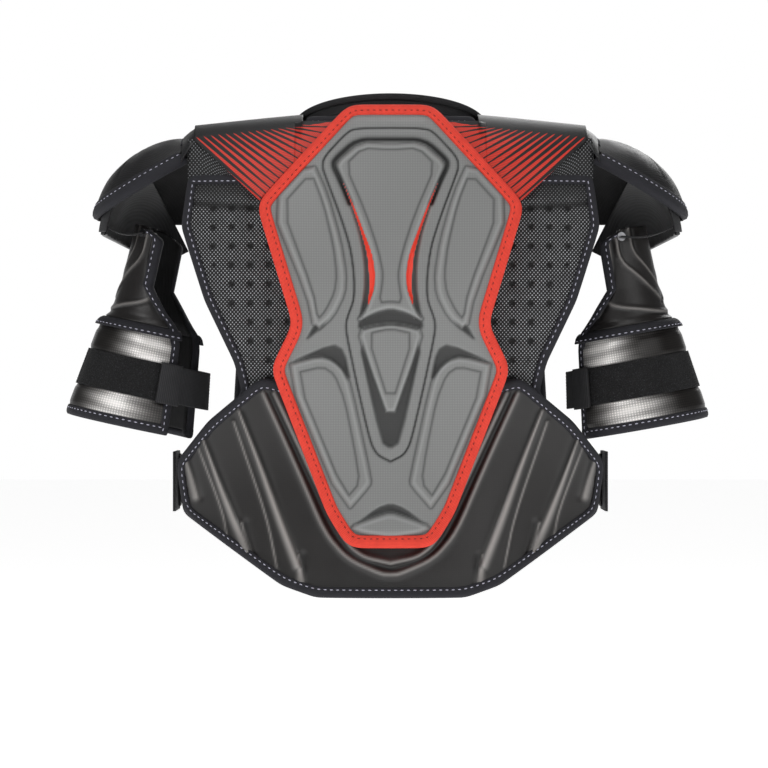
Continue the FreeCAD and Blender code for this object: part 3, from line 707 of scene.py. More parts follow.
class Skin:
    """The smooth outer face that some CAD nodes share, seen from the back or the front."""

    def __init__(self, nodes: Sequence[str], facing: Facing, centre: tuple[float, float]) -> None:
        """Fits a smooth surface to the nodes' faces and traces their outline.

        Args:
            nodes: The CAD nodes.
            facing: The way they look.
            centre: A point, across and up, from which the whole outline can be seen.
        """
        self.facing = facing.value
        self.tree = node_tree_of(nodes)
        boxes = [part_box(n) for n in nodes]
        self.low = np.min([b[0] for b in boxes], axis=0) / MM
        self.high = np.max([b[1] for b in boxes], axis=0) / MM
        self.outline = self._trace(np.array(centre))
        self._fit()

    def hit(self, across: float, up: float) -> float | None:
        """Depth of the outermost face at a place, or None off the nodes."""
        start = Vector((across * MM, self.facing, up * MM))
        found = self.tree.ray_cast(start, Vector((0, -self.facing, 0)))[0]
        return None if found is None else found.y / MM

    def _trace(self, centre: Array) -> Array:
        """The outline, found by stepping outwards from the centre at even angles."""
        line = []
        step, limit, halvings = 10, 420, 9
        for angle in np.linspace(0, math.tau, 720, endpoint=False):
            way = np.array([math.cos(angle), math.sin(angle)])
            reaches = np.arange(step, limit, step)
            near = max((r for r in reaches if self.hit(*(centre + r * way)) is not None),
                       default=0.0)
            far = near + step
            for _ in range(halvings):
                middle = (near + far) / 2
                if self.hit(*(centre + middle * way)) is None:
                    far = middle
                else:
                    near = middle
            line.append(centre + near * way)
        return np.array(line)

    def _terms(self, flat: Array) -> Array:
        """The fitted surface's terms at each flat point."""
        across = flat[:, 0] / 200
        up = (flat[:, 1] - self.middle) / self.reach
        return np.stack([across ** i * up ** j for i in (0, 2, 4, 6) for j in range(9)], 1)

    def _fit(self) -> None:
        """Fits the surface to a sample of hits."""
        self.middle = (self.low[2] + self.high[2]) / 2
        self.reach = (self.high[2] - self.low[2]) / 2
        xs = np.linspace(self.low[0] + 1, self.high[0] - 1, 60)
        zs = np.linspace(self.low[2] + 1, self.high[2] - 1, 60)
        rows = [(x, z, y) for x in xs for z in zs if (y := self.hit(x, z)) is not None]
        sample = np.array(rows)
        for _ in range(2):
            self.fitted = np.linalg.lstsq(self._terms(sample[:, :2]), sample[:, 2], rcond=None)[0]
            off = np.abs(self._terms(sample[:, :2]) @ self.fitted - sample[:, 2])
            sample = sample[off < 2.5]

    def depth(self, flat: Array, out: Array | float = 0.0) -> Array:
        """Depth of the smooth surface, raised outwards."""
        return self._terms(flat) @ self.fitted + self.facing * out

    def place(self, flat: Array, out: Array | float = 0.0) -> Array:
        """Points on the smooth surface, raised outwards, N by 3."""
        return np.stack([flat[:, 0], self.depth(flat, out), flat[:, 1]], 1)


@dataclass
class Tape:
    """Binding tape folded over an edge: a rounded band, with a row of stitches."""

    name: str
    body: str
    finish: Finish
    thread: Finish | None = None
    width: float = 9.0
    crown: float = 2.2
    stitch: float = 3.4
    gap: float = 2.4
    stitch_at: float = 0.72
    nodes: tuple[str, ...] = ()
    slot: str | None = None

    def build(self, edge: Array, inward: Array, normal: Array, closed: bool = True,
              depth: float = 8.0) -> None:
        """Builds the tape along an edge, and its stitches.

        Args:
            edge: The edge's points, N by 3.
            inward: At each, the direction from the edge into the panel.
            normal: At each, the direction out of the panel's face.
            closed: Whether the edge is a ring.
            depth: How far the tape reaches down the panel's side.
        """
        profile = self._profile(depth)
        stations = (edge[:, None] + profile[None, :, :1] * inward[:, None]
                    + profile[None, :, 1:] * normal[:, None])
        points = stations.shape[1]
        if closed:
            stations = np.concatenate([stations, stations[:1]])
        ring = np.concatenate([stations, stations[:, :1]], axis=1)
        length = np.linalg.norm(np.diff(edge, axis=0), axis=1).sum()

        def place(across: Array, along: Array) -> Array:
            """The ring's points, station by station."""
            i = np.rint(along * (len(ring) - 1)).astype(int)
            j = np.rint(across * points).astype(int)
            return ring[i, j]

        flat = (3 * self.width, length)
        mesh = wrapped_grid(self.name, points, len(ring) - 1, place, flat, merge=True)
        if not closed:
            close_ends(mesh)
        piece(self.name, mesh, self.finish, self.body, self.nodes, self.slot)
        if self.thread:
            self._stitches(edge, inward, normal, closed)

    def _profile(self, depth: float) -> Array:
        """The tape's section as (inward, outward) pairs, starting at its inner edge."""
        width, crown = self.width, self.crown
        return np.array([
            (width, -1.0), (width - 0.2, crown * 0.45), (width * 0.86, crown * 0.72),
            (width * 0.6, crown * 0.86), (width * 0.36, crown), (width * 0.12, crown * 0.8),
            (-0.6, crown * 0.2), (-1.0, -depth * 0.35), (-0.7, -depth * 0.75),
            (width * 0.3, -depth), (width * 0.6, -depth + 0.4)])

    def _stitches(self, edge: Array, inward: Array, normal: Array, closed: bool) -> None:
        """Dashes of thread that lie along the tape."""
        line = edge + inward * self.width * self.stitch_at + normal * self.crown * 0.86
        frames = np.concatenate([line, inward, normal], axis=1)
        ring = np.vstack([frames, frames[:1]]) if closed else frames
        run = np.concatenate([[0], np.cumsum(np.linalg.norm(np.diff(ring[:, :3], axis=0), axis=1))])
        pitch = self.stitch + self.gap
        half_width, half_height = 0.55, 0.45
        marks = np.arange(pitch / 2, run[-1], pitch)
        at = np.stack([np.interp(marks, run, ring[:, i]) for i in range(9)], 1)
        ahead = np.stack([np.interp(marks + 1, run, ring[:, i]) for i in range(3)], 1)
        net = bmesh.new()
        for row, forward in zip(at, ahead):
            way = Vector(forward - row[:3]).normalized()
            up = Vector(row[6:]).normalized()
            side = way.cross(up).normalized()
            turn = Matrix((way, side, up)).transposed().to_4x4()
            shape = Matrix.Diagonal((self.stitch / 2 * MM, half_width * MM, half_height * MM, 1))
            bmesh.ops.create_icosphere(net, subdivisions=1, radius=1,
                                       matrix=Matrix.Translation(Vector(row[:3]) * MM)
                                       @ turn @ shape)
        mesh = mesh_of(self.name + "_stitches", net)
        piece(self.name + "_stitches", mesh, self.thread, self.body)


def edge_frames(skin: Skin, step: float, inset: float, passes: int) -> tuple[Array, ...]:
    """Points along a skin's outline, with the ways into the panel and out of its face.

    Args:
        skin: The skin.
        step: Distance between points.
        inset: How far the points lie inside the outline.
        passes: How many times the line's corners are softened.

    Returns:
        Points, inward ways and outward ways, each N by 3.
    """
    flat = smooth_line(spaced(skin.outline, step), passes)
    ahead = unit(np.roll(flat, -1, 0) - np.roll(flat, 1, 0))
    inner = np.stack([-ahead[:, 1], ahead[:, 0]], 1)
    flat = flat + inner * inset
    points = skin.place(flat)
    inward = unit(skin.place(flat + inner) - points)
    normal = unit(np.cross(np.roll(points, -1, 0) - np.roll(points, 1, 0), inward))
    normal *= np.sign(normal[:, 1:2] * skin.facing)
    return points, inward, normal


@dataclass
class Panel:
    """A moulded or padded panel that lies on a skin, inside its binding."""

    name: str
    body: str
    finish: Finish
    skin: Skin
    nodes: tuple[str, ...]
    slot: str
    cell: float = 1.7
    thickness: float = 7.0
    inset: float = 2.0
    fill: float = 0.8

    def build(self, relief: Relief) -> None:
        """Builds the panel.

        Args:
            relief: Gives heights and marks from flat points and their depths inside the outline.
        """
        line = self.skin.outline
        low, high = line.min(axis=0), line.max(axis=0)
        mesh, flat = cut_grid(self.name, low, high, self.cell,
                              lambda p: depth_inside(p, line) > self.inset)
        height, marks = relief(flat, depth_inside(flat, line))
        set_uv(mesh, flat * MM)
        set_marks(mesh, marks)
        move_points(mesh, self.skin.place(flat, height))
        facing(mesh, Facing(self.skin.facing))
        made = piece(self.name, mesh, self.finish, self.body, self.nodes, self.slot, self.fill)
        thicken(made, self.thickness)


def bound(panel: Panel, relief: Relief, tape: Tape, step: float, depth: float = 8.0,
          inset: float = 0.0, passes: int = 3) -> None:
    """Builds a panel and the tape that binds its edge.

    Args:
        panel: The panel.
        relief: The panel's heights and marks.
        tape: The tape.
        step: Distance between the tape's stations.
        depth: How far the tape reaches down the panel's side.
        inset: How far inside the panel's outline the tape's edge lies.
        passes: How many times the tape's corners are softened.
    """
    panel.build(relief)
    tape.build(*edge_frames(panel.skin, step, inset, passes), depth=depth)


@cache
def back_liner_skin() -> Skin:
    """The back liner's outer face."""
    return Skin(("back_liner", "back_liner_binding"), Facing.BACK, (0, -200))


# --- The vest's back ------------------------------------------


@dataclass
class SpinePlate:
    """The grey moulded plate down the spine, with its red stitched binding."""

    pad_rise: float = 2.6
    slope: float = 3.2
    groove: float = 1.1

    centre_pad: tuple = ((0, -14), (27, -12), (48.5, -30), (45, -41), (33, -68), (16.7, -111),
                         (14, -127), (14.5, -143), (21, -160), (29, -172), (14, -163.5), (0, -160))
    centre_line: tuple = ((0, -17.5), (25, -16), (40.5, -31.5), (21.6, -76), (10.8, -109),
                          (7.2, -126), (7, -134.5), (10, -155), (0, -154))
    slit: tuple = ((45, -41), (33, -68), (24.3, -91), (16.7, -111), (14, -127), (14.5, -143),
                   (21, -161), (18.8, -143), (19.3, -127), (21, -111), (26.6, -91), (34.6, -68))
    slit_bed: tuple = ((46, -40), (36.5, -68), (29, -91), (25, -111), (23.5, -127), (24, -147),
                       (29, -173), (21, -161), (14, -143), (14, -127), (17, -111), (33, -68))
    arch_bed: tuple = ((0, -160), (14, -163.5), (29, -171), (29, -179), (14, -175), (0, -173.5))
    channel: tuple = ((0, 2.5), (28, 2.3), (38, 0), (60, -24), (61, -34), (57, -45), (45, -77),
                      (36, -105), (32.5, -131), (32.5, -152), (39, -169), (40, -177), (38, -190),
                      (29, -233), (18, -280), (12, -291), (0, -297))
    brow: tuple = ((0, -8), (30.5, -8), (51, -26.5), (51, -33), (45, -45), (36.5, -66))
    arrow_pad: tuple = ((0, -174.6), (14, -176.5), (28, -180), (21, -205), (0, -264.6))
    arrow_line: tuple = ((0, -178), (21, -183), (0, -249))
    arrow_bed: tuple = ((0, -172), (31, -179), (9, -280), (0, -286))
    upper_pad: tuple = ((107, -67), (71, -28), (58, -57), (46, -99), (41, -129), (42, -147),
                        (52, -167), (67, -180), (74, -147))
    upper_line: tuple = ((98, -68), (71, -38), (60, -66), (51, -104), (48, -130), (50, -146),
                         (58, -162), (65, -170), (69, -145))
    upper_bed: tuple = ((63, -60), (50, -110), (46, -140), (55, -172), (78, -191), (67, -172),
                        (50, -150), (44, -128))
    lower_pad: tuple = ((95, -212), (63.5, -204), (51.6, -207), (42.6, -215), (36.6, -230),
                        (18.7, -313), (19.4, -318), (40.3, -342))
    lower_line: tuple = ((86, -218), (60.5, -212), (50, -219), (41, -242), (32, -286.5),
                         (27.6, -316), (39.6, -330))
    lower_bed: tuple = ((93.5, -209.5), (51.6, -191), (41, -197), (35, -228), (52, -207),
                        (63.5, -203))
    foot_pad: tuple = ((0, -344), (14, -348), (36, -356), (24, -361), (0, -364))
    foot_bed: tuple = ((0, -334), (11.7, -338), (33, -354), (14, -346), (0, -342))

    def build(self) -> None:
        """Builds the plate and its binding."""
        skin = Skin(("spine_plate", "spine_plate_binding"), Facing.BACK, (0, -200))
        panel = Panel("spine_plate_moulding", "vest", GREY_FOAM, skin, ("spine_plate",),
                      "grey_eva", cell=1.25, thickness=6.5, inset=6.0)
        tape = Tape("spine_plate_binding_tape", "vest", RED_TAPE, RED_THREAD, width=10.2,
                    crown=2.0, stitch=3.0, gap=2.6, stitch_at=0.66,
                    nodes=("spine_plate_binding",), slot="red_binding")
        bound(panel, self.relief, tape, step=2.5, depth=9.0, passes=10)

    def relief(self, flat: Array, inside: Array) -> tuple[Array, dict[str, Array]]:
        """The moulding's heights, painted shade in its valleys, painted highlights on its crests,
        and slits, at flat points.
        """
        half = folded(flat)
        height = np.full(len(half), 0.2)
        valley_shade = np.zeros(len(half))
        crest_highlight = np.zeros(len(half))

        def area(corners: tuple) -> Array:
            """Depth inside a half outline that meets the centre line, or stands beside it."""
            return depth_inside(half, self._whole(corners))

        # Painted shade in the sunk beds.
        for corners in (self.slit_bed, self.arch_bed, self.arrow_bed, self.upper_bed,
                        self.lower_bed, self.foot_bed):
            sunk = ramp(area(corners), -1.2, 2.4)
            height -= 3.4 * sunk
            valley_shade = np.maximum(valley_shade, 0.85 * sunk)
        for corners in (self.centre_pad, self.upper_pad, self.arrow_pad, self.lower_pad,
                        self.foot_pad):
            within = area(corners)
            rise = ramp(within, -self.slope * 0.5, self.slope * 0.5)
            height = height * (1 - rise) + self.pad_rise * rise
            valley_shade *= 1 - rise
            # Painted highlight along each pad's lip, and painted shade at its foot.
            lip = bump(within - 2.0, 1.3)
            crest_highlight = np.maximum(crest_highlight, 0.3 * lip)
            foot = bump(within + 1.9, 1.0)
            valley_shade = np.maximum(valley_shade, 0.62 * foot * (within < 0))
        # Painted shade in the channel and the brow.
        for line, depth, wide in ((self.channel, 1.3, 0.9), (self.brow, 2.6, 2.4)):
            gap = distance(half, rounded(line, 2, closed=False))
            cut = bump(gap, wide)
            height -= depth * cut
            valley_shade = np.maximum(valley_shade, np.clip(1.25 * cut, 0, 1))
        # Painted shade in the grooves round the pads.
        for line in (self.centre_line, self.arrow_line, self.upper_line, self.lower_line):
            gap = np.abs(area(line))
            cut = bump(gap, self.groove)
            height -= 0.55 * cut
            valley_shade = np.maximum(valley_shade, 0.62 * cut)
        slit = ramp(depth_inside(half, rounded(self.slit, 1)), -0.5, 0.5)
        height += 1.6 * slit
        valley_shade *= 1 - slit
        rim = ramp(inside, 16, 11)
        height -= 0.8 * rim
        return height, {"valley_shade": np.clip(valley_shade, 0, 1), "crest_highlight": crest_highlight, "slit": slit}

    def _whole(self, corners: tuple) -> Array:
        """An outline rounded, with its mirror image if it starts on the centre line."""
        right = np.array(corners, float)
        if corners[0][0] != 0:
            return rounded(corners, 1)
        left = (right * (-1, 1))[::-1]
        if corners[-1][0] == 0:
            left = left[1:]
        return rounded(np.vstack([right, left[:-1]]), 1)


@dataclass
class LowerGuard:
    """The black moulded guard over the lower back, ribbed like a fan."""

    channels: tuple = (
        ((104.9, -236), (59.4, -333), (38.7, -371.7), (23.4, -383.4), (0, -388)),
        ((115.2, -236), (82.8, -306.9), (59.4, -360.9), (38.7, -384.3), (8.1, -397.8), (0, -398)))
    ridges: tuple = (
        (((137.7, -252), (118.8, -299.7), (100.8, -348.3), (83.7, -390.6)), 3.4),
        (((172.8, -274), (155.3, -320.4), (142.2, -351), (129.6, -379.8)), 3.0),
        (((190, -289), (178.2, -330.3)), 2.2),
        (((135, -353.7), (129.6, -379.8)), 1.6),
        (((82.8, -381.6), (80.1, -406.8)), 1.6))
    companions: tuple = (
        ((142.2, -262), (111.6, -348.3), (102.6, -392.4)),
        ((176.4, -284), (153, -342.9), (148.5, -366.3)))

    def build(self) -> None:
        """Builds the guard and its binding."""
        skin = Skin(("lower_back_guard", "lower_back_binding"), Facing.BACK, (0, -300))
        panel = Panel("lower_guard_moulding", "vest", BLACK_FOAM, skin, ("lower_back_guard",),
                      "black_eva", cell=1.5, thickness=7.5, inset=5.5)
        tape = Tape("lower_guard_tape", "vest", NAVY_TAPE, WHITE_THREAD, width=8.6, crown=1.8,
                    nodes=("lower_back_binding",), slot="binding_tape")
        bound(panel, self.relief, tape, step=2.8, depth=9.2, inset=0.6, passes=16)

    def relief(self, flat: Array, inside: Array) -> tuple[Array, dict[str, Array]]:
        """Ribs with a painted highlight along each top and painted shade in the groove on the
        plate's side.
        """
        half = folded(flat)
        height = 0.4 * ramp(inside, 8, 30)
        # Painted shade, darker near the edge.
        valley_shade = 0.35 * ramp(inside, 22, 9)
        crest_highlight = np.zeros(len(half))
        # Painted highlight along the raised channels.
        for line in self.channels:
            near = distance(half, rounded(line, 2, closed=False))
            height += 2.4 * bump(near, 3.0)
            crest_highlight = np.maximum(crest_highlight, 0.9 * bump(near, 1.5))
        # Painted shade in the groove between them.
        between = distance(half, rounded(((110, -236), (71, -320), (49, -366), (31, -384),
                                          (0, -393)), 2, closed=False))
        valley_shade = np.maximum(valley_shade, 0.7 * bump(between, 2.6))
        height -= 1.6 * bump(between, 2.8)
        # Painted highlight on each rib, painted shade on its plate side.
        for line, tall in self.ridges:
            bent = rounded(line, 2, closed=False)
            near = distance(half, bent)
            side = distance(half - (-3.4, 0), bent)
            height += tall * bump(near, 3.4) - 1.7 * bump(side, 3.6)
            low, high = bent[:, 1].min(), bent[:, 1].max()
            wide = 0.9 + 2.6 * ramp(half[:, 1], high, low)
            crest_highlight = np.maximum(crest_highlight, 1.25 * bump(near, wide))
            valley_shade = np.maximum(valley_shade, 0.75 * bump(side, 2.6) * (1 - bump(near, 2.2)))
        # Painted highlight on the companion lines.
        for line in self.companions:
            near = distance(half, rounded(line, 2, closed=False))
            height += 0.9 * bump(near, 2.0)
            crest_highlight = np.maximum(crest_highlight, 0.8 * bump(near, 0.9))
        return height, {"valley_shade": np.clip(valley_shade, 0, 1), "crest_highlight": crest_highlight}


@dataclass
class BackLiner:
    """The vest's back: spacer mesh over foam, dimpled, with stitched binding."""

    column: float = 17.2
    first_column: float = 92.3
    row: float = 17.2
    first_row: float = -85.5
    dimple: float = 2.9
    crease: float = -66.0

    def build(self) -> None:
        """Builds the liner and its binding."""
        panel = Panel("back_liner_mesh", "vest", LINER_MESH, back_liner_skin(), ("back_liner",),
                      "liner_mesh", cell=1.9, thickness=7.5, inset=5.0)
        tape = Tape("back_liner_tape", "vest", NAVY_TAPE, WHITE_THREAD, width=8.4, crown=1.9,
                    nodes=("back_liner_binding",), slot="binding_tape")
        bound(panel, self.relief, tape, step=3.0)

    def relief(self, flat: Array, inside: Array) -> tuple[Array, dict[str, Array]]:
        """Vent dimples on their net, puffed between, with a crease below the yokes."""
        across, up = np.abs(flat[:, 0]), flat[:, 1]
        nearest = np.stack([
            np.rint((across - self.first_column) / self.column) * self.column + self.first_column,
            np.rint((up - self.first_row) / self.row) * self.row + self.first_row], 1)
        off = np.hypot(across - nearest[:, 0], up - nearest[:, 1])
        open_part = ramp(inside, 15, 17) * (up < -50) * (across > 60)
        hole = ramp(off, self.dimple + 0.9, self.dimple - 0.9) * open_part
        puff = 1.0 - bump(off - self.dimple, 5.0)
        wave = self.crease - 0.09 * (150 - across)
        fold = bump(up - wave, 3.0) * ramp(across, 60, 90)
        lip = bump(up - wave - 6.0, 3.5) * ramp(across, 60, 90)
        height = 0.7 * puff * open_part - 2.2 * hole - 1.6 * fold + 1.5 * lip
        height -= 0.8 * ramp(inside, 11, 6)
        # Painted shadow, darker towards the top under the yokes and in the crease; painted shade in
        # the dimples and the crease.
        shadow = 0.78 * ramp(up, -72, -46) + 0.55 * fold
        return height, {"valley_shade": np.clip(hole * 1.2 + 0.6 * fold, 0, 1),
                        "shadow": np.clip(shadow, 0, 1)}


# --- The vest's front -----------------------------------------


@dataclass
class ChestPanel:
    """The front panel, with its sternum plate, chest pads, belly guard and side landings."""

    def build(self) -> None:
        """Builds the front's pieces."""
        skin = Skin(("front_liner", "front_liner_binding"), Facing.FRONT, (0, -200))
        panel = Panel("front_liner_mesh", "front_panel", LINER_MESH, skin, ("front_liner",),
                      "liner_mesh", cell=2.2, thickness=7.5, inset=5.0)
        tape = Tape("front_liner_tape", "front_panel", NAVY_TAPE, WHITE_THREAD, width=8.4,
                    crown=1.9, nodes=("front_liner_binding",), slot="binding_tape")
        bound(panel, self.liner_relief, tape, step=3.0)
        sternum = Skin(("sternum_plate", "sternum_binding"), Facing.FRONT, (0, -150))
        panel = Panel("sternum_moulding", "front_panel", GREY_FOAM, sternum, ("sternum_plate",),
                      "grey_eva", cell=1.3, thickness=8, inset=4.5)
        tape = Tape("sternum_tape", "front_panel", RED_TAPE, RED_THREAD, width=7.0, crown=1.8,
                    stitch=3.0, gap=2.6, nodes=("sternum_binding",), slot="red_binding")
        bound(panel, self.sternum_relief, tape, step=2.5, depth=9.5)
        belly = Skin(("belly_guard", "belly_guard_binding"), Facing.FRONT, (0, -295))
        panel = Panel("belly_moulding", "front_panel", BLACK_FOAM, belly, ("belly_guard",),
                      "black_eva", cell=1.6, thickness=8, inset=4.5)
        tape = Tape("belly_tape", "front_panel", NAVY_TAPE, WHITE_THREAD, width=7.4, crown=1.8,
                    nodes=("belly_guard_binding",), slot="binding_tape")
        bound(panel, self.belly_relief, tape, step=2.6, depth=9.5)
        for _, word in SIDES:
            name = f"chest_pad_{word}"
            low, high = (Vector(c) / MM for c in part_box(name))
            pad = Skin((name,), Facing.FRONT, ((low.x + high.x) / 2, (low.z + high.z) / 2))
            Panel(f"{name}_moulding", "front_panel", BLACK_FOAM, pad, (name,), "black_eva",
                  cell=1.6, thickness=8, inset=0.3).build(self.chest_relief)

    def liner_relief(self, flat: Array, inside: Array) -> tuple[Array, dict[str, Array]]:
        """The front's mesh: dimples all over."""
        pitch = 17.2
        off = np.hypot(flat[:, 0] - np.rint(flat[:, 0] / pitch) * pitch,
                       flat[:, 1] - np.rint(flat[:, 1] / pitch) * pitch)
        hole = ramp(off, 3.8, 2.0) * ramp(inside, 15, 17)
        height = -2.0 * hole - 0.8 * ramp(inside, 11, 6)
        # Painted shade in the dimples, and an even painted shadow over the whole front.
        return height, {"valley_shade": hole, "shadow": 0.35 * np.ones(len(flat))}

    def sternum_relief(self, flat: Array, inside: Array) -> tuple[Array, dict[str, Array]]:
        """A raised pad with a line round it."""
        rise = ramp(inside, 9, 13)
        line = bump(inside - 19, 1.0)
        foot = bump(inside - 9.5, 1.3)
        # Painted shade in the line and at the pad's foot, and a painted highlight along the pad's
        # top edge.
        return 2.2 * rise - 0.6 * line, {"valley_shade": np.clip(0.6 * line + 0.7 * foot, 0, 1),
                                         "crest_highlight": 0.5 * bump(inside - 13, 1.4),
                                         "slit": np.zeros(len(flat))}

    def belly_relief(self, flat: Array, inside: Array) -> tuple[Array, dict[str, Array]]:
        """Ribs that fan out from the middle."""
        turn = np.degrees(np.arctan2(flat[:, 0], flat[:, 1] + 150))
        rib = np.cos(np.radians(turn * 18))
        fade = ramp(inside, 9, 20)
        # Painted shade between the ribs and a painted highlight on their tops.
        return 1.6 * rib * fade, {"valley_shade": 0.75 * ramp(-rib, 0.2, 1.0) * fade,
                                  "crest_highlight": 0.8 * ramp(rib, 0.8, 1.0) * fade}

    def chest_relief(self, flat: Array, inside: Array) -> tuple[Array, dict[str, Array]]:
        """A crowned pad whose sides fall away, with a groove across it."""
        crown = ramp(inside, 0, 13)
        groove = bump(flat[:, 1] + 118 + 0.35 * np.abs(flat[:, 0]), 2.2)
        groove *= ramp(inside, 6, 12)
        # Painted shade in the groove and towards the edge, and a painted highlight round the
        # crown's shoulder.
        return -7.0 * (1 - crown) + 1.8 * crown - 2.0 * groove, {
            "valley_shade": np.clip(0.8 * groove + 0.7 * ramp(inside, 4, 0), 0, 1),
            "crest_highlight": 0.5 * bump(inside - 10, 3.0)}


# --- Padded pieces that start from their CAD solids -----------


def swollen(name: str, node: str, finish: Finish, body: str, slot: str, shrink: float = 1.6,
            cap: float = 3.2, voxel: float = 4.5, fill: float = 0.8) -> bpy.types.Object:
    """A pad that starts from its CAD solid and is inflated as sewn cloth.

    Args:
        name: The piece's name.
        node: The CAD node.
        finish: Its cloth.
        body: The body that it rides on.
        slot: The record's material slot.
        shrink: How much smaller than the solid the cloth starts, in millimetres.
        cap: How far a point may swell, in millimetres.
        voxel: The cell of the remesh, in millimetres.
        fill: How full the pad is.

    Returns:
        The pad.
    """
    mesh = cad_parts[node].data.copy()
    mesh.name = name
    tidy(mesh)
    work = bpy.data.objects.new(name + "_work", mesh)
    bpy.context.scene.collection.objects.link(work)
    bpy.context.view_layer.objects.active = work
    remesh = work.modifiers.new("remesh", "REMESH")
    remesh.mode = "VOXEL"
    remesh.voxel_size = voxel * MM
    smooth = work.modifiers.new("smooth", "SMOOTH")
    smooth.iterations = 4
    push = work.modifiers.new("push", "DISPLACE")
    push.mid_level = 0.0
    push.strength = -shrink * MM
    shape = baked(work)
    start = points_of(shape).copy()
    simmed = inflate(work, shape)
    moved = simmed - start
    far = np.linalg.norm(moved, axis=1)
    scale = np.minimum(1, cap * MM / np.maximum(far, 1e-9))
    shape.vertices.foreach_set("co", (start + moved * scale[:, None]).ravel())
    shape.update()
    bpy.data.objects.remove(work)
    made = piece(name, shape, finish, body, (node,), slot, fill)
    finer = made.modifiers.new("finer", "SUBSURF")
    finer.levels = finer.render_levels = 1
    return made


def baked(work: bpy.types.Object) -> bpy.types.Mesh:
    """The object's mesh with its modifiers applied, which are then removed."""
    graph = bpy.context.evaluated_depsgraph_get()
    shape = bpy.data.meshes.new_from_object(work.evaluated_get(graph))
    work.modifiers.clear()
    work.data = shape
    return shape


def inflate(work: bpy.types.Object, shape: bpy.types.Mesh) -> Array:
    """Swells the work object's mesh as cloth and returns its points."""
    cloth = work.modifiers.new("cloth", "CLOTH")
    cloth.settings.use_pressure = True
    cloth.settings.uniform_pressure_force = 4
    cloth.settings.effector_weights.gravity = 0
    cloth.settings.tension_stiffness = 15
    cloth.settings.compression_stiffness = 15
    cloth.settings.bending_stiffness = 2
    scene = bpy.context.scene
    for step in range(1, 21):
        scene.frame_set(step)
    graph = bpy.context.evaluated_depsgraph_get()
    points = points_of(work.evaluated_get(graph).data).copy()
    work.modifiers.clear()
    scene.frame_set(1)
    return points


# --- Shoulders ------------------------------------------------


